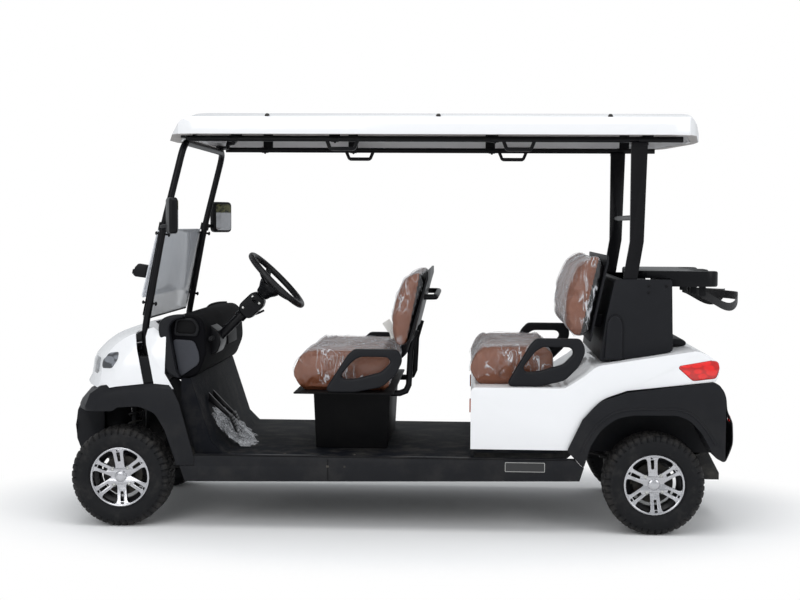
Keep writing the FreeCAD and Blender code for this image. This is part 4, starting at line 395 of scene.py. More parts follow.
def make_finishes(colours):
    """Every finish that the pieces wear, by name."""
    body, trim, seat = tuple(colours.body), tuple(colours.trim), tuple(colours.seat)
    finishes = {
        "white": gel_coat("white_gel_coat", body),
        "roof": gel_coat("roof_gel_coat", body),
        "tube": painted_steel("black_tube_paint", (0.0035, 0.0035, 0.0045), 0.30, 0.04, 0.14),
        "under": painted_steel("frame_paint", (0.007, 0.007, 0.0075), 0.5, 0.25),
        "iron": cast_iron("axle_iron", (0.02, 0.019, 0.018)),
        "zinc": bare_metal("zinc_fixings", (0.62, 0.62, 0.6), 0.32),
        "alloy": machined_rings("machined_alloy", (0.52, 0.52, 0.54)),
        "pocket": painted_steel("wheel_pocket_black", (0.004, 0.004, 0.005), 0.25, 0.03),
        "rubber": tyre_rubber("tyre_rubber", (0.0065, 0.0068, 0.008)),
        "leather": seat_leather("seat_leather", seat),
        "piping": seat_leather("seat_piping", (0.008, 0.0075, 0.008)),
        # Both films wear painted crease highlights and a painted sheen at grazing angles
        "film": crinkled_film("wrapping_film"),
        "bag": crinkled_film("loose_wrapping_film", 0.13, (1.0, 0.8, 0.9)),
        "pane": clear_pane("windshield_pane", (0.66, 0.69, 0.73), 0.50),
        "pale_pane": clear_pane("folded_pane", (0.86, 0.88, 0.93), 0.55),
        # Lenses: colour, painted glow, and how dark the painted shade over their chambers is
        "clear_lens": lens("head_lamp_lens", (0.17, 0.18, 0.20), 0.0, 0.9),
        "red_lens": lens("tail_lamp_lens", (0.62, 0.008, 0.006), 0.10, 0.45),
        "amber": lens("side_reflector_lens", (0.36, 0.055, 0.008), 0.02, 0.3),
        "mirror": mirror_glass("mirror_glass"),
        "strap": woven_strap("bag_strap_weave", (0.006, 0.006, 0.007)),
        "mat": ribbed_mat("floor_mat", (0.007, 0.008, 0.011)),
    }
    # finish, material, colour, roughness, grain scale, grain depth, dust, coat, shine
    for finish, *look in (
            ("charcoal", "charcoal_plastic", trim, 0.42, 900.0, 0.00012, 0.06, 0.0, 0.17),
            ("liner", "roof_liner", (0.40, 0.38, 0.37), 0.7, 500.0, 0.0003, 0.03, 0.0, 0.1),
            ("satin", "satin_black_plastic", shade(trim, 0.5), 0.32, 1300.0, 0.00006, 0.03, 0.0, 0.15),
            ("matt", "matt_dash_plastic", (0.004, 0.004, 0.005), 0.72, 1100.0, 0.00012, 0.03, 0.0, 0.04),
            ("knee", "grey_knee_panel", (0.036, 0.038, 0.046), 0.42, 800.0, 0.0001, 0.03),
            ("grip", "steering_grip", (0.005, 0.005, 0.006), 0.40, 650.0, 0.0003, 0.01, 0.1, 0.3),
            ("seal", "rubber_seal", (0.003, 0.003, 0.0035), 0.5, 1500.0, 0.00005, 0.02, 0.0, 0.1),
            ("plate", "blank_badge", (0.006, 0.006, 0.007), 0.25, 1500.0, 0.00004, 0.02, 0.4, 0.4),
            ("card", "paper_tag", (0.80, 0.79, 0.76), 0.8, 300.0, 0.00005, 0.03, 0.0, 0.1)):
        finishes[finish] = moulded(*look)
    return finishes


# Mesh work

def new_object(name, mesh):
    made = bpy.data.objects.new(name, mesh)
    bpy.context.scene.collection.objects.link(made)
    return made


def modify(piece, kind, **settings):
    made = piece.modifiers.new(kind.lower(), kind)
    for key, value in settings.items():
        setattr(made, key, value)
    return made


def bake(piece):
    """Turns what the piece's curve or modifiers make into its own mesh."""
    graph = bpy.context.evaluated_depsgraph_get()
    mesh = bpy.data.meshes.new_from_object(piece.evaluated_get(graph))
    name = piece.name
    if piece.type == "MESH":
        piece.modifiers.clear()
        piece.data = mesh
        return piece
    bpy.data.objects.remove(piece)
    return new_object(name, mesh)


def bevelled(piece, width, segments=2, angle=35, **settings):
    """Breaks a piece's edges, as round as the cart's sizes ask."""
    modify(piece, "BEVEL", width=width * bpy.context.scene.cart_sizes.edges, segments=segments,
           limit_method="ANGLE", angle_limit=math.radians(angle), use_clamp_overlap=True, **settings)
    return bake(piece)


def with_mesh(piece, work):
    """Runs one editing step on the piece's mesh."""
    edit = bmesh.new()
    edit.from_mesh(piece.data)
    work(edit)
    edit.to_mesh(piece.data)
    edit.free()
    return piece


def outward(edit):
    bmesh.ops.recalc_face_normals(edit, faces=edit.faces)


def from_points(name, points, faces):
    """A piece from its points and faces, with every face looking out."""
    mesh = bpy.data.meshes.new(name)
    mesh.from_pydata([tuple(point) for point in points], [], faces)
    mesh.validate()
    return with_mesh(new_object(name, mesh), outward)


def settle(piece, finish, slot, sharp=32, node=None, body="chassis"):
    """Gives a piece its finish and smooth faces, puts it under its body and hides the node that it stands
    for. slot is not used.
    """
    if len(piece.data.materials) == 0:
        piece.data.materials.append(FINISH[finish])
    piece.data.shade_smooth()
    piece.data.set_sharp_from_angle(angle=math.radians(sharp))
    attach(piece, body)
    if node:
        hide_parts(node)
    return piece


def two_tone(piece, main, other, wears_other):
    """Gives the faces that a test picks another finish than the rest."""
    for name in (main, other):
        piece.data.materials.append(FINISH[name])
    for polygon in piece.data.polygons:
        polygon.material_index = int(wears_other(polygon))
    return piece


def solid_copy(node, name):
    """The node's own shape as a new piece that wears nothing yet."""
    piece = new_object(name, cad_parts[node].data.copy())
    piece.data.materials.clear()
    return piece


def cad_copy(node, name):
    """The node's own shape as a new piece, with its flat faces in one piece."""
    def clean(edit):
        bmesh.ops.remove_doubles(edit, verts=edit.verts, dist=0.0012)
        bmesh.ops.dissolve_limit(edit, angle_limit=math.radians(1.2), verts=edit.verts, edges=edit.edges)
        outward(edit)

    return with_mesh(solid_copy(node, name), clean)


def dressed(node, name, finish, slot, edge, sharp=32, body="chassis"):
    """The node's shape with its edges broken and its finish on."""
    piece = bevelled(cad_copy(node, name), edge, miter_outer="MITER_ARC")
    return settle(piece, finish, slot, sharp, node, body)


def corner_arc(before, corner, after, radius, runs):
    """The points that round one corner off. An arc takes up less than half of either edge."""
    into, away = before - corner, after - corner
    reach = min(radius, into.length * 0.48, away.length * 0.48)
    start, end = corner + into.normalized() * reach, corner + away.normalized() * reach
    shares = [step / runs for step in range(runs + 1)]
    return [start * (1 - t) ** 2 + corner * (2 * t * (1 - t)) + end * t ** 2 for t in shares]


def rounded(points, radius, runs=5):
    """The points of a path with its corners rounded."""
    points = [Vector(point) for point in points]
    path = [points[0]]
    for trio in zip(points, points[1:], points[2:]):
        path += corner_arc(*trio, radius, runs)
    return [*path, points[-1]]


def rounded_loop(corners, radius, runs=6):
    """A closed outline with its corners rounded."""
    corners = [Vector(corner) for corner in corners]
    loop = []
    for trio in zip(corners[-1:] + corners, corners, corners[1:] + corners[:1]):
        loop += corner_arc(*trio, radius, runs)
    return [tuple(point) for point in loop]


def rectangle(left, low, right, high):
    return [(left, low), (right, low), (right, high), (left, high)]


def polar(radius, turn):
    return (radius * math.cos(turn), radius * math.sin(turn))


def quads(rings, count, rings_close=False, closed=True):
    """Faces between rings of count points each that follow one another."""
    faces = []
    for i in range(rings if rings_close else rings - 1):
        near, far = i * count, (i + 1) % rings * count
        for k in range(count if closed else count - 1):
            after = (k + 1) % count
            faces.append((near + k, near + after, far + after, far + k))
    return faces


def tube(name, points, radius, sides, closed=False, squash=None):
    """A tube along a path. squash gives the other half width of a flat section."""
    points = [Vector(point) for point in points]
    count = len(points)
    along = []
    for i in range(count):
        before = points[i - 1] if closed or i else points[i]
        after = points[(i + 1) % count] if closed or i < count - 1 else points[i]
        along.append((after - before).normalized())
    across = along[0].orthogonal().normalized()
    if squash:
        across = (Vector((0, 1, 0)) - along[0] * along[0].y).normalized()
    skin = []
    for point, way in zip(points, along):
        across = (across - way * across.dot(way)).normalized()
        third = way.cross(across)
        for k in range(sides):
            turn = 2 * math.pi * k / sides
            skin.append(point + across * (radius * math.cos(turn))
                        + third * ((squash or radius) * math.sin(turn)))
    faces = quads(count, sides, closed)
    if not closed:
        faces.append(tuple(range(sides - 1, -1, -1)))
        faces.append(tuple(range((count - 1) * sides, count * sides)))
    return from_points(name, skin, faces)


def lathe(name, profile, sides, centre, closed=True):
    """Turns a profile of (radius, width) points round an axle along Y."""
    points = []
    for i in range(sides):
        for radius, width in profile:
            u, v = polar(radius, 2 * math.pi * i / sides)
            points.append((centre[0] + u, centre[1] + width, centre[2] + v))
    return from_points(name, points, quads(sides, len(profile), True, closed))


def plate(name, outline, wall, at, edge, steps=2, holes=(), plane="xz"):
    """A plate of one wall with rounded edges. plane is xz or yz, and at is the middle of its wall."""
    curve = bpy.data.curves.new(name, "CURVE")
    curve.dimensions = "2D"
    curve.fill_mode = "BOTH"
    curve.extrude = max(wall / 2 - edge, 0.0)
    curve.bevel_depth = edge
    curve.bevel_resolution = steps
    curve.offset = -edge
    for loop in (outline, *holes):
        spline = curve.splines.new("POLY")
        spline.points.add(len(loop) - 1)
        for point, (u, v) in zip(spline.points, loop):
            point.co = (u, v, 0, 1)
        spline.use_cyclic_u = True
    made = bake(new_object(name, curve))
    for vertex in made.data.vertices:
        u, v, depth = vertex.co
        vertex.co = (u, at + depth, v) if plane == "xz" else (at + depth, u, v)

    def clean(edit):
        bmesh.ops.remove_doubles(edit, verts=edit.verts, dist=0.00005)
        outward(edit)

    return with_mesh(made, clean)


def band(name, points, width, wall):
    """A flat band that stands on edge along a path."""
    points = [Vector(point) for point in points]
    rows = []
    last = len(points) - 1
    down = Vector((0, 0, width))
    for i, point in enumerate(points):
        way = (points[min(i + 1, last)] - points[max(i - 1, 0)]).normalized()
        out = way.cross(Vector((0, 0, 1))).normalized() * (wall / 2)
        rows += [point + out, point - out, point - out - down, point + out - down]
    ends = [(3, 2, 1, 0), tuple(last * 4 + k for k in range(4))]
    return from_points(name, rows, quads(last + 1, 4) + ends)


def moved(piece, matrix):
    piece.data.transform(matrix)
    return with_mesh(piece, outward)


def basis(centre, first, second):
    """Places a piece so that its X and Y run along two given ways."""
    third = first.cross(second)
    return Matrix(((first.x, second.x, third.x, centre.x), (first.y, second.y, third.y, centre.y),
                   (first.z, second.z, third.z, centre.z), (0, 0, 0, 1)))


def knob(centre, radius, height, way, sides):
    """A small domed button or screw head that looks along one way."""
    profile = [(0.0, height), (radius * 0.55, height * 0.94), (radius * 0.86, height * 0.68),
               (radius, height * 0.3), (radius, 0.0), (0.0, 0.0)]
    made = lathe("knob", profile, sides, (0, 0, 0), False)
    way = Vector(way).normalized()
    return moved(made, basis(Vector(centre), way.orthogonal().normalized(), way))


def joined(name, pieces):
    """Several new pieces that wear nothing yet as one."""
    edit = bmesh.new()
    for piece in pieces:
        edit.from_mesh(piece.data)
    mesh = bpy.data.meshes.new(name)
    edit.to_mesh(mesh)
    edit.free()
    for piece in pieces:
        bpy.data.objects.remove(piece)
    return new_object(name, mesh)


def grouped(name, pieces, *dress, **more):
    """Several new pieces as one that is settled. What follows the pieces goes to settle."""
    return settle(joined(name, pieces), *dress, **more)


def both_ways(name, make, *dress):
    """The same piece on the driver's side and on the other, as one."""
    return grouped(name, [make(side) for side in SIDES], *dress)


def side_plates(name, outline, *dress, y, **cut):
    """The same upright plate on both sides of the cart, y from its middle."""
    return both_ways(name, lambda side: plate("half", outline, at=side * y, **cut), *dress)


def surface_of(node):
    """The node's solid, ready to be hit by rays."""
    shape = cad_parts[node].data
    return bvhtree.BVHTree.FromPolygons([vertex.co for vertex in shape.vertices],
                                        [tuple(polygon.vertices) for polygon in shape.polygons])


def meet(surface, start, way):
    """Where a ray meets the surface."""
    hit = surface.ray_cast(Vector(start), Vector(way))[0]
    if hit is None:
        raise RuntimeError(f"nothing of the solid lies along the ray from {start}")
    return hit


# Wheels

TREAD_DEPTH = 0.0055
SLOT_DEPTH = 0.0048
SHOULDER = [(0.2275, 0.071), (0.2245, 0.0785), (0.2195, 0.0855), (0.2125, 0.0915), (0.2045, 0.0958)]
SIDE_WALL = [(0.200, 0.0985), (0.198, 0.0992), (0.190, 0.1015), (0.178, 0.1024), (0.166, 0.1015),
             (0.156, 0.0985), (0.150, 0.0955), (0.1475, 0.0950), (0.1445, 0.0915), (0.139, 0.0855),
             (0.1365, 0.079)]
TYRE_INSIDE = [(0.1355, 0.0745), (0.150, 0.084), (0.205, 0.082)]
BARREL = [(0.1368, 0.0825), (0.1362, 0.0800), (0.1280, 0.0735), (0.1275, 0.052), (0.112, 0.044),
          (0.112, 0.010), (0.1275, -0.002), (0.1275, -0.070), (0.1362, -0.0765), (0.1345, -0.078),
          (0.1225, -0.070), (0.1222, -0.004), (0.107, 0.008), (0.107, 0.042), (0.124, 0.058),
          (0.1262, 0.0720), (0.1330, 0.0822)]
LIP = [(0.1372, 0.0815), (0.1374, 0.0832), (0.1355, 0.0842), (0.1322, 0.0840), (0.1292, 0.0822),
       (0.1286, 0.0785), (0.1300, 0.0770), (0.1345, 0.0800)]
CAP = [(0.0, 0.024), (0.012, 0.0238), (0.021, 0.022), (0.0255, 0.0185), (0.027, 0.010), (0.0275, 0.004),
       (0.0, 0.004)]
NUT = [(0.0, 0.022), (0.004, 0.0218), (0.0072, 0.0195), (0.0085, 0.0135), (0.0105, 0.0125),
       (0.0115, 0.006), (0.0, 0.006)]
NUT_WELL = [(0.0, 0.0094), (0.0145, 0.0094), (0.016, 0.0086), (0.0, 0.0080)]
NUT_CIRCLE = 0.0508
BRAKE_DISC = [(0.050, 0.016), (0.055, 0.020), (0.090, 0.020), (0.092, 0.0185), (0.092, 0.0155),
              (0.090, 0.014), (0.050, 0.014)]
SPOKE_FACE = 0.0705
HUB_DISH = 0.021
SPOKE_SLOT = [(0.070, 0.0045), (0.072, 0.0062), (0.112, 0.0078), (0.114, 0.006)]
SPOKE_END = [(0.1185, 0.0062), (0.1265, 0.0066)]
SPOKE_FLANK = [(0.0425, 0.0215), (0.056, 0.0212), (0.108, 0.0235), (0.120, 0.0275)]
WINDOW_RADIUS = 0.1275
SPOKE_HALF_END = 0.0345


def tread_depth(turn, width):
    """How deep the tread's grooves are at one place on the tyre."""
    blocks = 44
    phase = turn * blocks / (2 * math.pi)
    zig = 0.0035 * (1 if int(phase * 2) % 2 else -1)
    deep = 0.0
    for line in (-0.052, -0.018, 0.018, 0.052):
        if abs(width - line - zig) < 0.0042:
            deep = TREAD_DEPTH
    sideways = (phase + (0.5 if abs(width) < 0.035 else 0.0)) % 1.0
    if sideways < 0.24:
        deep = max(deep, SLOT_DEPTH)
    return deep


def make_tyre(corner, x, side):
    """A tyre with blocks across its tread and onto its shoulders."""
    crown = [(0.229, k * 0.0063) for k in range(-10, 11)]
    right = SHOULDER + SIDE_WALL + TYRE_INSIDE
    profile = crown + right + [(radius, -width) for radius, width in reversed(right)]
    made = lathe(f"tyre_{corner}_tread", profile, 264, (x, side * WHEEL_Y, WHEEL_Z))
    share = bpy.context.scene.cart_sizes.tread
    for vertex in made.data.vertices:
        u, w, v = vertex.co.x - x, vertex.co.y - side * WHEEL_Y, vertex.co.z - WHEEL_Z
        radius = math.hypot(u, v)
        if radius < 0.203 or abs(w) > 0.097:
            continue
        deep = tread_depth(math.atan2(v, u) % (2 * math.pi), w) * share
        factor = (radius - deep) / radius
        inward = min(deep, 0.003) if abs(w) > 0.075 else 0.0
        vertex.co = (x + u * factor, vertex.co.y - math.copysign(inward, w), WHEEL_Z + v * factor)
    settle(made, "rubber", "tyre_rubber", 40, f"tyre_{corner}", f"wheel_{corner}")


def flank(turn, side, points):
    """Points beside a spoke, by their reach from the hub and their distance from the spoke's middle."""
    away, across = Vector(polar(1, turn)), Vector(polar(1, turn + math.pi / 2))
    return [tuple(away * reach + across * (side * shift)) for reach, shift in points]


def spoke_windows():
    """Outlines of the openings in and between the six twin spokes."""
    loops = []
    for i in range(6):
        turn, following = math.radians(95 - 60 * i), math.radians(95 - 60 * (i + 1))
        for points in (SPOKE_SLOT, SPOKE_END):
            loops.append(flank(turn, -1, points) + flank(turn, 1, points[::-1]))
        spread = math.asin(SPOKE_HALF_END / WINDOW_RADIUS)
        start, end = turn - spread, following + spread
        arc = [polar(WINDOW_RADIUS, start + (end - start) * k / 6) for k in range(7)]
        loops.append(flank(turn, -1, SPOKE_FLANK) + arc + flank(following, 1, SPOKE_FLANK[::-1]))
    return loops


def make_rim(corner, x, side):
    """An alloy rim: turned barrel and lip, six twin spokes, nuts, a plain cap and the brake's disc."""
    dress = {"slot": "machined_alloy", "body": f"wheel_{corner}"}
    hub_y = side * (WHEEL_Y + SPOKE_FACE - HUB_DISH)

    def turned(name, profile, sides, u=0.0, v=0.0, y=side * WHEEL_Y, closed=True):
        outward_profile = [(radius, side * width) for radius, width in profile]
        return lathe(name, outward_profile, sides, (x + u, y, WHEEL_Z + v), closed)

    def at_nuts(profile, sides):
        spots = [polar(NUT_CIRCLE, math.radians(50 + 90 * i)) for i in range(4)]
        return [turned("turning", profile, sides, u, v, hub_y, False) for u, v in spots]

    settle(turned(f"rim_{corner}_barrel", BARREL, 96), "pocket", node=f"rim_{corner}", **dress)
    settle(turned(f"rim_{corner}_lip", LIP, 120), "alloy", **dress)
    outline = [polar(0.1298, 2 * math.pi * i / 96) for i in range(96)]
    face = plate(f"rim_{corner}_spokes", outline, 0.018, 0.0, 0.0016, 1, spoke_windows())
    for vertex in face.data.vertices:
        u, v = vertex.co.x, vertex.co.z
        dish = HUB_DISH * (1 - min(1.0, max(0.0, (math.hypot(u, v) - 0.035) / 0.092)) ** 1.3)
        vertex.co = (x - side * u, side * (WHEEL_Y + SPOKE_FACE - dish) + vertex.co.y, WHEEL_Z + v)
    with_mesh(face, outward)
    two_tone(face, "pocket", "alloy", lambda polygon: polygon.normal.y * side > 0.5)
    settle(face, "pocket", sharp=25, **dress)
    settle(turned(f"rim_{corner}_cap", CAP, 48, y=hub_y, closed=False), "alloy", **dress)
    grouped(f"rim_{corner}_nuts", at_nuts(NUT, 6), "zinc", sharp=25, **dress)
    grouped(f"rim_{corner}_wells", at_nuts(NUT_WELL, 28), "pocket", **dress)
    settle(turned(f"rim_{corner}_disc", BRAKE_DISC, 64), "iron", "axle_iron", body=f"wheel_{corner}")


def make_wheels():
    for corner in CORNERS:
        make_tyre(*corner)
        make_rim(*corner)


# Seats

PAD_SHRINK = (0.012, 0.010, 0.010)
PAD_RISE = 0.020
PAD_GRID = 0.010
PAD_SPARE = 0.004
SEAM_WIDTH = 0.006
SEAM_DEPTH = 0.007
SEAM_FROM_SIDE = 0.115
FILM_GAP = 0.0015
FOLD_SEED = 3


def swell(name, node):
    """Blows a pad up from its solid with cloth, and holds how far it may stand out."""
    piece = solid_copy(node, name)
    low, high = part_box(node)
    middle = (Vector(low) + Vector(high)) / 2
    for vertex in piece.data.vertices:
        for k in range(3):
            half = (high[k] - low[k]) / 2
            vertex.co[k] = middle[k] + (vertex.co[k] - middle[k]) * (half - PAD_SHRINK[k]) / half
    modify(piece, "REMESH", mode="VOXEL", voxel_size=PAD_GRID)
    bake(piece)
    rest = [vertex.co.copy() for vertex in piece.data.vertices]
    cloth = modify(piece, "CLOTH")
    cloth.settings.use_pressure = True
    cloth.settings.uniform_pressure_force = bpy.context.scene.cart_sizes.pressure
    cloth.settings.quality = 3
    cloth.settings.tension_stiffness = 12
    cloth.settings.compression_stiffness = 12
    cloth.settings.bending_stiffness = 0.8
    cloth.settings.effector_weights.gravity = 0
    cloth.collision_settings.use_collision = False
    for step in range(1, 21):
        bpy.context.scene.frame_set(step)
    bake(piece)
    bpy.context.scene.frame_set(1)
    for vertex, start in zip(piece.data.vertices, rest):
        move = vertex.co - start
        if move.length > PAD_RISE:
            vertex.co = start + move * (PAD_RISE / move.length)
    return piece


def keep_inside(piece, node):
    """Holds a soft piece in its solid's room and a small allowance."""
    low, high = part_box(node)
    for vertex in piece.data.vertices:
        for k in range(3):
            vertex.co[k] = min(max(vertex.co[k], low[k] - PAD_SPARE), high[k] + PAD_SPARE)


def press(piece, lines):
    """Presses sewn channels into a pad. Each line gives a distance and how strongly a place is pressed."""
    piece.data.update()
    normals = [vertex.normal.copy() for vertex in piece.data.vertices]
    for vertex, normal in zip(piece.data.vertices, normals):
        for reach, weight in lines:
            near = reach(vertex.co)
            if near < SEAM_WIDTH * 3:
                vertex.co -= normal * (SEAM_DEPTH * weight(normal) * math.exp(-(near / SEAM_WIDTH) ** 2))


def make_pad(name, node, cross_line, cross_weight, weight, black=None):
    """One pad with a sewn line across it, one near each side and one down its middle."""
    pad = swell(name, node)
    keep_inside(pad, node)
    side_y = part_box(node)[1][1] - SEAM_FROM_SIDE
    lines = [(cross_line, cross_weight)]
    for y in (side_y, -side_y, 0.0):
        lines.append((lambda place, y=y: abs(place.y - y), weight))
    press(pad, lines)
    modify(pad, "SUBSURF", levels=1, render_levels=1)
    bake(pad)
    if black:
        two_tone(pad, "leather", "piping", black)
    settle(pad, "leather", "seat_leather", 60, node)
    return pad


def film_over(pad, name, covers):
    """A thin clear film that lies on a pad, lifted in folds, where covers says so."""
    noise.seed_set(FOLD_SEED)
    film = new_object(name, pad.data.copy())
    film.data.materials.clear()
    film.data.update()
    normals = [vertex.normal.copy() for vertex in film.data.vertices]
    for vertex, normal in zip(film.data.vertices, normals):
        place = vertex.co * 7.0
        run = Vector((place.x, place.y * 1.4, place.z * 1.3)) + noise.noise_vector(place * 0.6) * 0.8
        fold = abs(noise.noise(run))
        vertex.co += normal * (FILM_GAP + 0.009 * max(0.0, 0.35 - fold) ** 1.5 * 4)

    def trim(edit):
        bare = [face for face in edit.faces if not covers(face.calc_center_median(), face.normal)]
        bmesh.ops.delete(edit, geom=bare, context="FACES")

    settle(with_mesh(film, trim), "film", "clear_glass", 80)


def make_seat(which):
    """One bench: cushion and back, and the film over both."""
    cushion_node, back_node = f"{which}_seat_cushion", f"{which}_seat_back"
    low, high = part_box(cushion_node)
    back_low, back_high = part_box(back_node)

    def front_line(place):
        return abs(place.x - (low[0] + 0.105)) if place.z > high[2] - 0.09 else 1.0

    def back_line(place):
        return abs(place.z - (back_low[2] + 0.12))

    def upward(normal):
        return max(0.0, normal.z)

    def forward(normal):
        return max(0.0, -normal.x)

    def forward_or_up(normal):
        return max(0.0, normal.z, -normal.x)

    lean = (back_high[0] - back_low[0] - 0.08) / (back_high[2] - back_low[2])

    def is_behind(polygon):
        place = polygon.center
        return place.x - back_low[0] - 0.056 - lean * (place.z - back_low[2]) > 0

    cushion = make_pad(f"{which}_cushion_pad", cushion_node, front_line, forward_or_up, upward)
    back = make_pad(f"{which}_back_pad", back_node, back_line, forward, forward, is_behind)
    film_over(cushion, f"{which}_cushion_film", lambda p, n: n.z > -0.3 and p.z > low[2] + 0.03)
    film_over(back, f"{which}_back_film", lambda p, n: n.x < 0.55)


def make_seats():
    make_seat("front")
    make_seat("rear")


# Everything that keeps its solid's shape

# node, piece, finish, slot, edge and, where it isn't the chassis, body
SHELLS = (
    ("front_fender", "front_fender_shell", "charcoal", "black_plastic", 0.004),
    ("front_cowl", "front_cowl_shell", "white", "white_plastic", 0.003),
    ("sill_panels", "sill_mouldings", "charcoal", "black_plastic", 0.003),
    ("floor_pan", "floor_with_mat", "mat", "floor_mat", 0.003),
    ("front_seat_base", "front_seat_box", "seal", "black_plastic", 0.004),
    ("front_seat_shell", "front_seat_back_shell", "satin", "black_plastic", 0.005),
    ("rear_seat_shell", "rear_seat_back_shell", "charcoal", "black_plastic", 0.003),
    ("rear_body", "rear_body_shell", "white", "white_plastic", 0.006),
    ("rear_fender", "rear_fender_shell", "charcoal", "black_plastic", 0.004),
    ("bag_well", "bag_well_shell", "charcoal", "black_plastic", 0.004),
    ("bag_holder", "bag_holder_plate", "satin", "black_plastic", 0.006),
    ("headlights", "head_lamp_lenses", "clear_lens", "lamp_clear", 0.004),
    ("tail_lamps", "tail_lamp_lenses", "red_lens", "lamp_red", 0.006),
    ("chassis_frame", "chassis_rails", "under", "under_steel", 0.002),
    ("battery_block", "battery_tray", "under", "under_steel", 0.003),
    ("steering_rack", "rack_case", "iron", "axle_iron", 0.002),
    ("front_arms", "wishbones", "under", "under_steel", 0.002),
    ("rear_axle", "axle_and_motor", "iron", "axle_iron", 0.003),
    ("rear_springs", "leaf_springs", "under", "under_steel", 0.001),
    ("rear_struts", "rear_posts", "tube", "black_steel", 0.005),
    ("roof_rails", "roof_frame", "tube", "black_steel", 0.004),
    ("tie_rod", "tie_rod_bar", "under", "under_steel", 0.001, "tie_rod"),
    ("knuckle_left", "knuckle_casting_left", "iron", "axle_iron", 0.002, "knuckle_left"),
    ("knuckle_right", "knuckle_casting_right", "iron", "axle_iron", 0.002, "knuckle_right"),
)
SOFT_EDGE = 0.0045


def make_padded_arms():
    """Arm loops with a thick skin: no hard edge is left on them."""
    for node, name in (("front_armrests", "front_arm_loops"), ("rear_armrests", "rear_arm_loops")):
        piece = cad_copy(node, name)
        modify(piece, "REMESH", mode="VOXEL", voxel_size=0.005)
        modify(piece, "SMOOTH", factor=0.5, iterations=14)
        bake(piece)
        keep_inside(piece, node)
        settle(piece, "charcoal", "black_plastic", 80, node)


def make_panels():
    for node, name, finish, slot, edge, *body in SHELLS:
        dressed(node, name, finish, slot, edge, 50 if edge > SOFT_EDGE else 32, *body)
    make_padded_arms()


# Roof, hoop, panes and mirrors

HANGER = [(-0.992, 1.776), (-0.980, 1.789), (-0.955, 1.790), (-0.950, 1.812), (-0.925, 1.816),
          (-0.905, 1.838), (-0.925, 1.846), (-0.960, 1.838), (-0.968, 1.806), (-1.000, 1.798)]
PILLAR = [(-1.145, -POST_Y, 0.655), (-1.187, -POST_Y, 0.880), (-1.095, -POST_Y, 1.380),
          (-0.995, -POST_Y, 1.776)]
FOOT_COVER = [(-1.169, 0.664), (-1.122, 0.672), (-1.138, 0.752), (-1.146, 0.790), (-1.194, 0.790),
              (-1.184, 0.735)]
CATCH = [(-1.176, 1.205), (-1.222, 1.212), (-1.238, 1.196), (-1.246, 1.160), (-1.236, 1.152),
         (-1.190, 1.146)]
CATCH_GRIP = [(-1.238, 1.190), (-1.250, 1.186), (-1.254, 1.166), (-1.244, 1.162)]
MIRROR_X = -1.029
MIRROR_Y = 0.622
MIRROR_Z = 1.436


def make_top():
    """Roof shell with its grey underside, lifting plugs, the stepped hangers at its front and rail clamps."""
    def is_liner(polygon):
        place = polygon.center
        inside = abs(place.y) < 0.605 and -1.10 < place.x < 1.36
        return polygon.normal.z < -0.3 and (inside or place.z > 1.81)

    shell = two_tone(bevelled(cad_copy("roof", "roof_shell"), 0.004, 3, 30), "roof", "liner", is_liner)
    settle(shell, "roof", "roof_white", 50, "roof")
    skin = surface_of("roof")
    plugs = []
    for side in SIDES:
        for x in (-0.599, 0.175, 0.943):
            place = meet(skin, (x, side * 2, 1.889), (0, -side, 0))
            plugs.append(knob(place, 0.011, 0.010, (0, side, 0.8), 24))
    grouped("roof_lifting_plugs", plugs, "iron", "black_steel")
    side_plates("front_roof_hangers", HANGER, "tube", "black_steel", y=PANE_FIXING_Y, wall=0.04, edge=0.003)
    clamps = []
    for side in SIDES:
        y = side * POST_Y
        for x in (-0.77, -0.30, 0.43, 1.10):
            clamps.append(tube("clamp", [(x - 0.017, y, 1.792), (x + 0.017, y, 1.792)], 0.0155, 20))
            clamps.append(knob((x, y, 1.7765), 0.006, 0.005, (0, 0, -1), 6))
    grouped("rail_clamps", clamps, "satin", "black_steel")


def make_panes():
    """Both panes, with the clips, catches and seals that hold them."""
    def is_folded(polygon):
        fixed_face = -1.1897 + (polygon.center.z - 0.955) * 0.184
        return polygon.center.x < fixed_face - 0.0062

    panes = bevelled(cad_copy("windshield", "windshield_panes"), 0.0012)
    settle(two_tone(panes, "pane", "pale_pane", is_folded), "pane", "clear_glass", 32, "windshield")
    rods, heads, catches, seals = [], [], [], []
    for side in SIDES:
        y = side * 0.494
        for x, z in ((-1.100, 1.352), (-1.1625, 1.0316)):
            rods.append(tube("clip", [(x - 0.028, y, z + 0.003), (x + 0.03, y, z - 0.004)], 0.0055, 12))
            heads.append(knob((x + 0.028, y, z - 0.004), 0.010, 0.009, (1, 0, -0.1), 16))
            heads.append(knob((x - 0.026, y, z + 0.003), 0.009, 0.008, (-1, 0, 0.1), 16))
    grouped("pane_clips", rods + heads, "satin", "black_plastic", 50)
    for side in SIDES:
        y = side * PANE_FIXING_Y
        catches.append(plate("catch", CATCH, wall=0.05, at=y, edge=0.005, steps=3))
        catches.append(plate("catch_grip", CATCH_GRIP, wall=0.03, at=y, edge=0.003))
    grouped("pane_catches", catches, "satin", "black_plastic", 40)
    for side in SIDES:
        y = side * 0.4975
        seals.append(tube("seal", [(-1.1905, y, 0.975), (-1.1145, y, 1.360)], 0.0038, 10))
    seals.append(tube("seal", [(-1.1925, -0.47, 0.954), (-1.1925, 0.47, 0.954)], 0.0045, 10))
    grouped("pane_seals", seals, "seal", "black_plastic", 60)


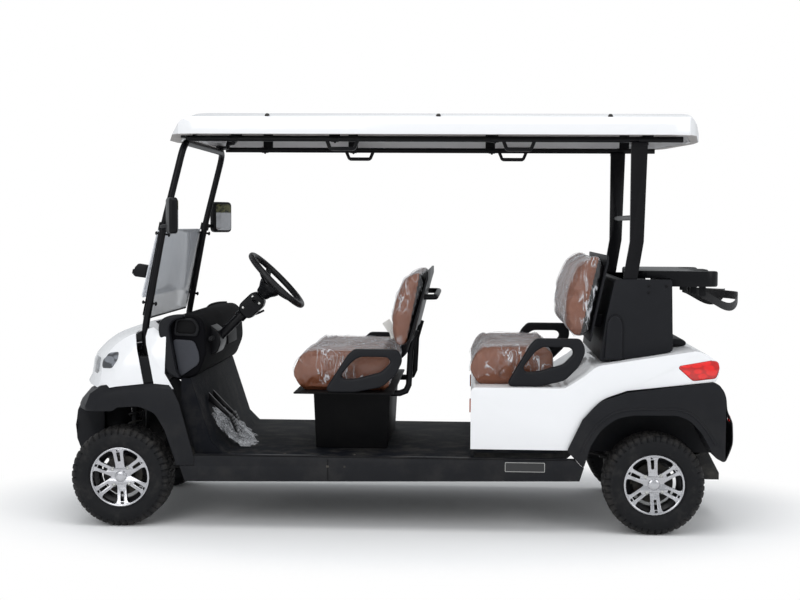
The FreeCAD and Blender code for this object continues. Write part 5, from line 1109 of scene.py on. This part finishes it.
def make_mirrors():
    """Rounded cases on clamped arms, both turned to the driver, who sits on the left."""
    def head(outline, **cut):
        def make(side):
            angle = math.radians(-36 if side > 0 else 20)
            middle = Vector((MIRROR_X, side * MIRROR_Y, MIRROR_Z))
            turn = Matrix.Translation(middle) @ Matrix.Rotation(angle, 4, "Z") @ Matrix.Translation(-middle)
            return moved(plate("head", [(side * u, v) for u, v in outline], plane="yz", **cut), turn)
        return make

    case = rounded_loop(rectangle(MIRROR_Y - 0.066, 1.354, MIRROR_Y + 0.066, 1.518), 0.026)
    both_ways("mirror_cases", head(case, wall=0.040, at=MIRROR_X, edge=0.012, steps=4), "satin",
              "dark_trim", 50, "mirrors")
    glass = rounded_loop(rectangle(0.568, 1.366, 0.676, 1.506), 0.018)
    both_ways("mirror_panes", head(glass, wall=0.004, at=-1.0085, edge=0.0008, steps=1), "mirror",
              "mirror_glass")
    arms = []
    for side in SIDES:
        path = [(-1.094, side * 0.494, 1.385), (-1.094, side * 0.545, 1.385), (-1.045, side * 0.605, 1.392)]
        arms.append(tube("arm", rounded(path, 0.02), 0.009, 16))
        y = side * POST_Y
        arms.append(tube("arm_clamp", [(-1.0976, y, 1.367), (-1.0903, y, 1.403)], 0.0225, 22))
        arms.append(knob((-1.070, y, 1.385), 0.006, 0.006, (1, 0, 0), 6))
    grouped("mirror_arms", arms, "satin", "black_plastic", 50)


def make_hoop():
    """Bent hoop with its foot covers and cuffs, and what stands on it: panes and mirrors."""
    path = PILLAR + [(x, -y, z) for x, y, z in reversed(PILLAR)]
    settle(tube("hoop_tube", rounded(path, 0.07, 7), 0.016, 20), "tube", "black_steel", 60, "front_hoop")
    side_plates("hoop_foot_covers", FOOT_COVER, "satin", "black_plastic", 40, y=0.5415, wall=0.083,
                edge=0.006, steps=3)

    def cuff(side):
        return tube("cuff", [(-1.1705, side * POST_Y, 0.795), (-1.1785, side * POST_Y, 0.836)], 0.0205, 24)

    both_ways("hoop_cuffs", cuff, "seal", "black_plastic", 40)
    make_panes()
    make_mirrors()


# Cabin

DASH = [(-1.064, 0.700), (-1.084, 0.880), (-1.072, 0.950), (-1.030, 0.976), (-0.935, 0.980),
        (-0.900, 0.945), (-0.890, 0.800), (-0.930, 0.700), (-1.015, 0.672)]
DASH_LEDGE = [(-0.9065, 0.872), (-0.889, 0.862), (-0.886, 0.800), (-0.902, 0.792)]
DASH_EDGE = [(-1.027, 0.694), (-1.067, 0.720), (-1.104, 0.915), (-1.098, 0.950), (-1.074, 0.972),
             (-1.030, 0.983), (-0.985, 0.984), (-0.985, 0.970), (-1.022, 0.962), (-1.046, 0.944),
             (-1.054, 0.915), (-1.020, 0.722), (-0.998, 0.690)]
KNEE_PANEL = [(-1.046, 0.868), (-0.945, 0.862), (-0.921, 0.800), (-0.921, 0.755), (-1.012, 0.690)]
CUBBY = [(-1.040, 0.884), (-0.930, 0.880), (-0.918, 0.925), (-0.945, 0.965), (-1.030, 0.966)]
CUBBY_MOUTH = [(-1.028, 0.896), (-0.942, 0.893), (-0.933, 0.924), (-0.953, 0.954), (-1.022, 0.954)]
CUBBY_WELL = [(-1.030, 0.894), (-0.940, 0.891), (-0.931, 0.924), (-0.951, 0.956), (-1.024, 0.956)]
COLUMN_POD = [(-0.905, 0.778), (-0.868, 0.790), (-0.850, 0.838), (-0.862, 0.893), (-0.905, 0.925)]
SWITCH_X = -0.884
SWITCH_WAY = (1, 0, 0.1)
# along the column from its top, and up from its axis
COLUMN_HOUSING = [(-0.128, -0.026), (-0.112, -0.044), (-0.030, -0.046), (-0.004, -0.030), (-0.003, 0.026),
                  (-0.022, 0.040), (-0.100, 0.042), (-0.128, 0.024)]
BOSS = [(0.0, -0.1016), (0.030, -0.1016), (0.034, -0.097), (0.038, -0.080), (0.050, -0.062),
        (0.056, -0.050), (0.0565, -0.040), (0.053, -0.033), (0.044, -0.029), (0.020, -0.027), (0.0, -0.0265)]
SPOKE_STOPS = [(0.022, -0.041), (0.060, -0.039), (0.105, -0.026), (0.140, -0.009), (0.157, -0.002)]
GRIP_RADIUS = 0.165


def make_dash():
    """Dash shell across the cart, its ledges, mouldings, knee panels, cubbies, column pod and switches."""
    shell = plate("dash_shell", rounded_loop(DASH, 0.03, 5), wall=1.058, at=0.0, edge=0.016, steps=4)
    settle(shell, "matt", "dark_trim", 50, "dashboard")
    side_plates("dash_ledges", rounded_loop(DASH_LEDGE, 0.004, 2), "seal", "dark_trim", 50,
                y=0.17, wall=0.26, edge=0.004)
    side_plates("dash_edge_mouldings", rounded_loop(DASH_EDGE, 0.02, 3), "charcoal", "dark_trim", 60,
                y=0.5565, wall=0.052, edge=0.012, steps=4)
    side_plates("knee_panels", rounded_loop(KNEE_PANEL, 0.022), "knee", "dark_trim", 50,
                y=0.5335, wall=0.010, edge=0.004, steps=3)
    side_plates("cubby_frames", rounded_loop(CUBBY, 0.018), "satin", "dark_trim", 50,
                y=0.5355, wall=0.014, edge=0.003, holes=[rounded_loop(CUBBY_MOUTH, 0.012)])
    side_plates("cubby_wells", rounded_loop(CUBBY_WELL, 0.012), "seal", "dark_trim",
                y=0.5325, wall=0.004, edge=0.001, steps=1)
    pod = plate("column_pod", rounded_loop(COLUMN_POD, 0.015, 4), wall=0.17, at=COLUMN_Y, edge=0.010, steps=4)
    settle(pod, "satin", "dark_trim", 60)
    switches = [knob((SWITCH_X, -0.49 + 0.035 * i, 0.865), 0.011, 0.012, SWITCH_WAY, 20) for i in range(3)]
    key_barrel = knob((SWITCH_X, -0.100, 0.895), 0.011, 0.018, SWITCH_WAY, 20)
    socket_cap = knob((SWITCH_X, -0.040, 0.895), 0.013, 0.007, SWITCH_WAY, 24)
    grouped("dash_switches", [*switches, key_barrel, socket_cap], "satin", "dark_trim", 40)


def on_column(along, up=0.0):
    """A point by the column, along it from its top and up from its axis."""
    return COLUMN_TOP + STEER_AXIS * along + Vector((-SLANT, 0, SLANT)) * up


def lever(along, offsets, radius):
    """A lever that bends away from the column."""
    return tube("lever", rounded([on_column(along) + Vector(offset) for offset in offsets], 0.03), radius, 12)


def make_steering():
    """Wheel with a thick grip, three flat spokes and a plain boss; column with its housing and levers."""
    place = basis(STEER_CENTRE, Vector((0, -1, 0)), STEER_AXIS)
    loop = []
    for i in range(120):
        u, v = polar(GRIP_RADIUS, 2 * math.pi * i / 120)
        loop.append((u, 0.0, v))
    grip = moved(tube("grip_ring", loop, 0.0148, 20, True), place)
    settle(grip, "grip", "dark_trim", 60, "steering_wheel", "steering_wheel")
    parts = []
    for i in range(3):
        turn = math.radians(270 + 120 * i)
        stops = [(polar(reach, turn)[0], y, polar(reach, turn)[1]) for reach, y in SPOKE_STOPS]
        parts.append(tube("spoke", rounded(stops, 0.02, 3), 0.0058, 16, False, 0.0175))
    parts.append(lathe("boss", BOSS, 48, (0, 0, 0), False))
    wheel = moved(joined("wheel_spokes_and_boss", parts), place)
    settle(wheel, "satin", "dark_trim", 40, body="steering_wheel")

    outline = rounded_loop([on_column(*spot).xz for spot in COLUMN_HOUSING], 0.012, 4)
    housing = plate("column_housing", outline, wall=0.078, at=COLUMN_Y, edge=0.010, steps=4)
    settle(housing, "satin", "dark_trim", 60, "steering_column")
    rods = [tube("rod", [on_column(start), on_column(end)], radius, 24) for start, end, radius in (
        (-0.12, -0.455, 0.0210), (-0.130, -0.152, 0.0275), (-0.345, -0.365, 0.029), (-0.369, -0.392, 0.034))]
    rods.append(lever(-0.09, ((0, 0.035, -0.03), (0.02, 0.10, -0.035), (0.05, 0.155, -0.02)), 0.0055))
    rods.append(lever(-0.04, ((0, -0.035, 0), (0, -0.10, 0.01), (0.012, -0.150, 0.022)), 0.0060))
    grouped("column_tube_and_levers", rods, "tube", "dark_trim", 50)
    bolts = []
    for spot in ((-0.100, 0.018), (-0.030, -0.022), (-0.030, 0.022)):
        u, v = on_column(*spot).xz
        bolts.append(knob((u, -0.329, v), 0.007, 0.004, (0, -1, 0), 6))
    grouped("column_bolts", bolts, "zinc", "dark_trim")


def make_pedals():
    """Pedal plates with rubber ribs, a loose clear bag round them, and screws by the floor's edges."""
    dressed("pedals", "pedal_plates", "tube", "black_steel", 0.003)
    ribs = []
    lean = Vector((0.042, 0, -0.095)).normalized()
    out = Vector((0.095, 0, 0.042)).normalized()
    half_rib = Vector((0, 0.027, 0))
    for y in (-0.345, -0.235):
        for i in range(6):
            middle = Vector((-0.806, y, 0.495)) + lean * (0.012 + 0.0155 * i) + out * 0.001
            ribs.append(tube("rib", [middle - half_rib, middle + half_rib], 0.0032, 10))
    grouped("pedal_ribs", ribs, "seal", "black_steel", 50)

    def crumple(edit):
        bmesh.ops.create_icosphere(edit, subdivisions=5, radius=1.0)
        for vertex in edit.verts:
            way = vertex.co.normalized()
            broad, fine = abs(noise.noise(way * 2.6)), abs(noise.noise(way * 6.0 + Vector((3, 1, 2))))
            reach = 0.66 + (broad * 0.55 + fine * 0.28) * 1.2
            point = Vector((way.x * 0.104, way.y * 0.125, way.z * 0.055)) * reach
            point.z -= 0.78 * point.x
            vertex.co = Vector((-0.800, -0.285, 0.420)) + point
            vertex.co.z = max(vertex.co.z, 0.349)

    wrap = new_object("pedal_wrap", bpy.data.meshes.new("pedal_wrap"))
    settle(with_mesh(wrap, crumple), "bag", "clear_glass", 80)
    screws = []
    for side in SIDES:
        for x in (-0.78, -0.52, -0.20, 0.12):
            screws.append(knob((x, side * 0.558, 0.3452), 0.0065, 0.003, (0, 0, 1), 14))
        for x in (-0.319, -0.2416):
            screws.append(knob((x, side * 0.5975, 0.297), 0.0065, 0.0035, (0, side, 0), 14))
    grouped("floor_and_sill_screws", screws, "iron", "black_steel")


# Body trim, springs and tail

REAR_ARCH = [(0.858, 0.365), (0.873, 0.407), (0.919, 0.480), (0.986, 0.533), (1.062, 0.549), (1.257, 0.551),
             (1.318, 0.529), (1.370, 0.472), (1.412, 0.405)]
ARCH_GROWTH = 1.085
CHEEK_LENS = [(-1.378, 0.765), (-1.374, 0.728), (-1.318, 0.730), (-1.288, 0.775), (-1.284, 0.812),
              (-1.335, 0.806)]
LENS_RINGS = 7
BADGE_Y = 0.6005
SIDE_RIB = [(0.936, 0.792), (1.021, 0.792), (1.021, 0.955), (1.004, 0.992), (0.974, 0.998), (0.948, 0.965)]
TRAY = [(1.254, 0.842), (1.336, 0.842), (1.339, 0.858), (1.322, 0.872), (1.272, 0.874), (1.254, 0.868)]
STRAP_Y = 0.172
STRAP_HALF = 0.134
COIL_POINTS = 150
COIL_TURNS = 7.5
COIL_RADIUS = 0.029


def cheek_lens(side):
    """Lamp glass that follows the cowl's cheek: a patch cast on the solid and lifted off it."""
    cowl = surface_of("front_cowl")
    outline = [Vector(point) for point in rounded_loop(CHEEK_LENS, 0.012, 5)]
    middle = sum(outline, Vector((0, 0))) / len(outline)
    points = []
    for ring in range(LENS_RINGS + 1):
        reach = max(1 - ring / LENS_RINGS, 0.001)
        lift = Vector((0, side, 0)) * (0.0045 if ring > 0 else -0.004)
        for place in outline:
            flat = middle + (place - middle) * reach
            points.append(meet(cowl, (flat.x, side * 0.9, flat.y), (0, -side, 0)) + lift)
    return from_points("cheek_lens", points, quads(LENS_RINGS + 1, len(outline)))


def cross_plates(name, outline, y, z, *dress, **cut):
    """The same plate across the cart on both sides, from y and z. The outline is mirrored."""
    def make(side):
        return plate("half", [(side * (y + u), z + v) for u, v in outline], plane="yz", **cut)

    return both_ways(name, make, *dress)


def make_trim():
    """Arch beads, sill seams, the bare badges with their edges, step reflectors and head lamp glass."""
    beads, seams = [], []
    for side in SIDES:
        path = [(REAR_AXLE + (x - REAR_AXLE) * ARCH_GROWTH, side * 0.5992,
                 WHEEL_Z + (z - WHEEL_Z) * ARCH_GROWTH) for x, z in REAR_ARCH]
        beads.append(tube("bead", rounded(path, 0.06), 0.0055, 10))
    grouped("rear_arch_beads", beads, "charcoal", "black_plastic", 60)
    for side in SIDES:
        upright, level = side * 0.5997, side * 0.5965
        seams.append(tube("seam", [(-0.318, upright, 0.330), (-0.318, upright, 0.232)], 0.0016, 8))
        seams.append(tube("seam", [(-0.985, level, 0.3395), (0.77, level, 0.3395)], 0.0014, 8))
    grouped("sill_seams", seams, "seal", "black_plastic", 60)
    badge = rounded_loop(rectangle(0.489, 0.286, 0.668, 0.328), 0.004, 3)
    side_plates("bare_sill_badges", badge, "plate", "black_plastic", y=BADGE_Y, wall=0.004, edge=0.001)
    outer = rounded_loop(rectangle(0.4885, 0.2855, 0.6685, 0.3285), 0.004, 3)
    inner = rounded_loop(rectangle(0.4905, 0.2875, 0.6665, 0.3265), 0.003, 3)
    side_plates("badge_edges", outer, "zinc", "black_plastic", y=BADGE_Y, wall=0.0052, edge=0.0004,
                steps=1, holes=[inner])
    reflector = rounded_loop(rectangle(0.0, 0.0, 0.040, 0.062), 0.008, 4)
    cross_plates("step_reflectors", reflector, 0.50, 0.545, "amber", "lamp_red", 40,
                 wall=0.008, at=0.329, edge=0.002)
    both_ways("head_lamp_glass", cheek_lens, "clear_lens", "lamp_clear", 60)


def make_springs():
    """Dampers, and the coil springs round them."""
    dressed("front_springs", "front_dampers", "satin", "under_steel", 0.003, 50)
    coils = []
    for side in SIDES:
        foot, head = Vector((FRONT_AXLE, side * 0.297, 0.205)), Vector((FRONT_AXLE, side * 0.264, 0.525))
        way = (head - foot).normalized()
        first = way.orthogonal().normalized()
        second = way.cross(first)
        path = []
        for i in range(COIL_POINTS):
            share = i / (COIL_POINTS - 1)
            turn = 2 * math.pi * i * COIL_TURNS / (COIL_POINTS - 1)
            path.append(foot + (head - foot) * share + first * (COIL_RADIUS * math.cos(turn))
                        + second * (COIL_RADIUS * math.sin(turn)))
        coils.append(tube("coil", path, 0.0052, 8))
    grouped("front_coils", coils, "under", "under_steel", 60)


def strap_path(side):
    """A loop whose legs sag and whose end stands out behind the holder, lower on the outer leg."""
    path = []
    for i in range(33):
        turn = math.pi * i / 32
        reach = math.sin(turn)
        sag = 0.052 * max(0.0, -math.sin(2 * turn)) ** 1.4
        path.append((1.405 + 0.190 * reach, side * STRAP_Y + side * STRAP_HALF * -math.cos(turn),
                     1.104 - 0.012 * reach - sag))
    return path


def paper(name, outline, wall, place, lean):
    """A thin card that leans on the front seat."""
    card = plate(name, rounded_loop(outline, 0.003, 3), wall=wall, at=0.0, edge=0.0004, steps=1)
    turn = Matrix.Translation(place) @ Matrix.Rotation(math.radians(lean), 4, "Y")
    settle(moved(card, turn), "card", "seat_leather")


def make_tail():
    """Bag straps and buckles, side ribs, tray, tail reflectors and bolts, and the tags on the front seat."""
    loops = [band("strap", strap_path(side), 0.038, 0.0032) for side in SIDES]
    grouped("bag_strap_bands", loops, "strap", "webbing", 40, "bag_straps")
    buckle = rounded_loop(rectangle(1.392, 1.076, 1.424, 1.122), 0.005, 3)
    buckles = [plate("buckle", buckle, wall=0.011, at=side * STRAP_Y + shift, edge=0.002)
               for side in SIDES for shift in (STRAP_HALF, -STRAP_HALF)]
    grouped("strap_buckles", buckles, "satin", "black_plastic", 40)
    side_plates("bag_well_side_ribs", rounded_loop(SIDE_RIB, 0.016, 4), "charcoal", "black_plastic", 60,
                y=0.506, wall=0.022, edge=0.009, steps=4)
    tray = plate("bag_tray", rounded_loop(TRAY, 0.008, 4), wall=0.60, at=0.0, edge=0.006, steps=3)
    settle(tray, "charcoal", "black_plastic", 50)
    eye = rounded_loop(rectangle(-0.022, -0.013, 0.022, 0.013), 0.008, 4)
    cross_plates("bumper_reflectors", eye, 0.52, 0.532, "red_lens", "lamp_red", 40,
                 wall=0.007, at=1.503, edge=0.002)
    bolts = [knob((x, side * POST_Y, z), 0.007, 0.004, (0, side, 0), 6)
             for side in SIDES for x, z in ((1.136, 1.129), (1.136, 1.098), (1.215, 1.129))]
    grouped("bag_well_bolts", bolts, "satin", "black_steel")
    paper("paper_tag", rectangle(-0.020, -0.026, 0.020, 0.026), 0.0012, (-0.058, -0.335, 0.925), -34)
    paper("wide_label", [(-0.008, -0.030), (0.012, -0.026), (0.010, 0.010), (-0.010, 0.012)], 0.001,
          (-0.046, -0.333, 0.892), -14)


# Stage

YAW, PITCH, ROLL = 0.05143, 0.05325, 0.00613
CAMERA_PLACE = (0.33362, -6.93393, 1.39879)
WHITE = (1.0, 1.0, 1.0)
# name, place, aim, size, power
LAMPS = (
    ("overhead", (0.2, -0.6, 5.2), (0.1, 0, 0.6), 5.0, 130),
    ("near_side", (-2.6, -6.0, 3.4), (0, 0, 0.7), 3.4, 105),
    ("rear_side", (4.6, -3.6, 2.8), (0.6, 0, 0.8), 2.6, 50),
)


def make_camera():
    """The camera where the photo was taken."""
    ahead = Vector((-math.sin(YAW), math.cos(YAW), 0))
    right = Vector((math.cos(YAW), math.sin(YAW), 0))
    look = ahead * math.cos(PITCH) - Vector((0, 0, math.sin(PITCH)))
    over = Vector((0, 0, math.cos(PITCH))) + ahead * math.sin(PITCH)
    side = right * math.cos(ROLL) + over * math.sin(ROLL)
    top = over * math.cos(ROLL) - right * math.sin(ROLL)
    camera = new_object("camera", bpy.data.cameras.new("camera"))
    camera.data.lens = 63.21
    camera.data.sensor_width = 36
    rows = [(side[k], top[k], -look[k], CAMERA_PLACE[k]) for k in range(3)]
    camera.matrix_world = Matrix((*rows, (0, 0, 0, 1)))
    bpy.context.scene.camera = camera


def make_stage():
    """Camera, pale floor that fades to white, bright sky and soft lamps."""
    make_camera()
    paint = Paint("pale_floor")
    grain = paint.noise(3.0, 4.0)
    paint.wear(colour=paint.blend(grain, (0.93, 0.93, 0.93), (0.95, 0.95, 0.95)), rough=0.9, shine=0.0)
    x, y = paint.axis("X"), paint.axis("Y")
    away = (x * x * 0.17 + y * y * 0.42).above(0.45, 1.0)
    seen = paint.node("ShaderNodeLightPath", out="Is Camera Ray")
    glow = paint.node("ShaderNodeEmission", None, {0: WHITE, 1: 1.0})
    paint.feed(paint.out, paint.node("ShaderNodeMixShader", None,
                                     {0: away * seen, 1: paint.surface, 2: glow}))
    floor = from_points("floor", [(-30, -30, 0), (30, -30, 0), (30, 30, 0), (-30, 30, 0)], [(0, 1, 2, 3)])
    floor.data.materials.append(paint.material)
    world = bpy.data.worlds.new("sky")
    scene = bpy.context.scene
    scene.world = world
    sky = Sheet(world, "ShaderNodeOutputWorld")
    seen = sky.node("ShaderNodeLightPath", out="Is Camera Ray")
    seen_through = sky.node("ShaderNodeLightPath", out="Is Transmission Ray")
    daylight = sky.node("ShaderNodeBackground", None, {0: (0.94, 0.97, 1.0), 1: 0.66})
    blank = sky.node("ShaderNodeBackground", None, {0: WHITE, 1: 1.0})
    sky.feed(sky.out, sky.node("ShaderNodeMixShader", None,
                               {0: seen.or_larger(seen_through), 1: daylight, 2: blank}))
    for name, place, aim, size, power in LAMPS:
        lamp = new_object(name, bpy.data.lights.new(name, "AREA"))
        lamp.data.size = size
        lamp.data.energy = power
        lamp.location = place
        lamp.rotation_euler = (Vector(aim) - Vector(place)).to_track_quat("-Z", "Y").to_euler()
    scene.view_settings.view_transform = "Standard"


# Add-on

class CartSizes(bpy.types.PropertyGroup):
    """Sizes that a user may want to change"""
    edges: bpy.props.FloatProperty(
        name="Edges", description="How round broken edges are, as a share of each piece's own radius",
        default=1.0, min=0.1, max=2.0, subtype="FACTOR")
    tread: bpy.props.FloatProperty(
        name="Tread", description="How deep the tyres' grooves are, as a share of a new tyre's",
        default=1.0, min=0.0, max=1.5, subtype="FACTOR")
    pressure: bpy.props.FloatProperty(
        name="Pad pressure", description="How hard the seat pads are blown up",
        default=4.0, min=0.0, max=20.0)


class CartColours(bpy.types.PropertyGroup):
    """Colours that a user may want to change"""
    body: bpy.props.FloatVectorProperty(
        name="Body", description="Body panels and roof",
        default=(0.82, 0.825, 0.84), min=0, max=1, subtype="COLOR")
    trim: bpy.props.FloatVectorProperty(
        name="Trim", description="Fenders, sills and armrests",
        default=(0.0085, 0.009, 0.0112), min=0, max=1, subtype="COLOR")
    seat: bpy.props.FloatVectorProperty(
        name="Seats", description="Seat leather",
        default=(0.190, 0.062, 0.027), min=0, max=1, subtype="COLOR")


class CART_OT_stage(bpy.types.Operator):
    """Makes the camera, floor and lamps"""
    bl_idname = "cart.stage"
    bl_label = "Stage"

    def execute(self, context):
        make_stage()
        return {"FINISHED"}


class CART_OT_wheels(bpy.types.Operator):
    """Makes the four tyres and rims"""
    bl_idname = "cart.wheels"
    bl_label = "Wheels"

    def execute(self, context):
        make_wheels()
        return {"FINISHED"}


class CART_OT_seats(bpy.types.Operator):
    """Makes the cushions, backs and their wrapping film"""
    bl_idname = "cart.seats"
    bl_label = "Seats"

    def execute(self, context):
        make_seats()
        return {"FINISHED"}


class CART_OT_panels(bpy.types.Operator):
    """Makes the pieces that keep their solid's shape"""
    bl_idname = "cart.panels"
    bl_label = "Panels"

    def execute(self, context):
        make_panels()
        return {"FINISHED"}


class CART_OT_top(bpy.types.Operator):
    """Makes the roof, its fixings, the hoop, the panes and the mirrors"""
    bl_idname = "cart.top"
    bl_label = "Roof and hoop"

    def execute(self, context):
        make_top()
        make_hoop()
        return {"FINISHED"}


class CART_OT_cabin(bpy.types.Operator):
    """Makes the dash, the column, the steering wheel, the pedals and the small floor parts"""
    bl_idname = "cart.cabin"
    bl_label = "Cabin"

    def execute(self, context):
        make_dash()
        make_steering()
        make_pedals()
        return {"FINISHED"}


class CART_OT_body(bpy.types.Operator):
    """Makes the body's trim, springs, bag straps and tail details"""
    bl_idname = "cart.body"
    bl_label = "Body trim"

    def execute(self, context):
        make_trim()
        make_springs()
        make_tail()
        return {"FINISHED"}


class CART_PT_pieces(bpy.types.Panel):
    bl_label = "Golf cart"
    bl_idname = "CART_PT_pieces"
    bl_space_type = "VIEW_3D"
    bl_region_type = "UI"
    bl_category = "Cart"

    def draw(self, context):
        for operator in OPERATORS:
            self.layout.operator(operator.bl_idname)
        for name in ("edges", "tread", "pressure"):
            self.layout.prop(context.scene.cart_sizes, name)
        for name in ("body", "trim", "seat"):
            self.layout.prop(context.scene.cart_colours, name)


OPERATORS = (CART_OT_stage, CART_OT_wheels, CART_OT_seats, CART_OT_panels, CART_OT_top, CART_OT_cabin,
             CART_OT_body)
CLASSES = (CartSizes, CartColours, *OPERATORS, CART_PT_pieces)
FINISH = {}


def register():
    for made in CLASSES:
        bpy.utils.register_class(made)
    bpy.types.Scene.cart_sizes = bpy.props.PointerProperty(type=CartSizes)
    bpy.types.Scene.cart_colours = bpy.props.PointerProperty(type=CartColours)


def unregister():
    del bpy.types.Scene.cart_sizes
    del bpy.types.Scene.cart_colours
    for made in reversed(CLASSES):
        bpy.utils.unregister_class(made)


def main():
    register()
    FINISH.update(make_finishes(bpy.context.scene.cart_colours))
    bpy.ops.cart.stage()
    bpy.ops.cart.wheels()
    bpy.ops.cart.seats()
    bpy.ops.cart.panels()
    bpy.ops.cart.top()
    bpy.ops.cart.cabin()
    bpy.ops.cart.body()
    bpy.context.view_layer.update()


if __name__ == "__main__":
    main()
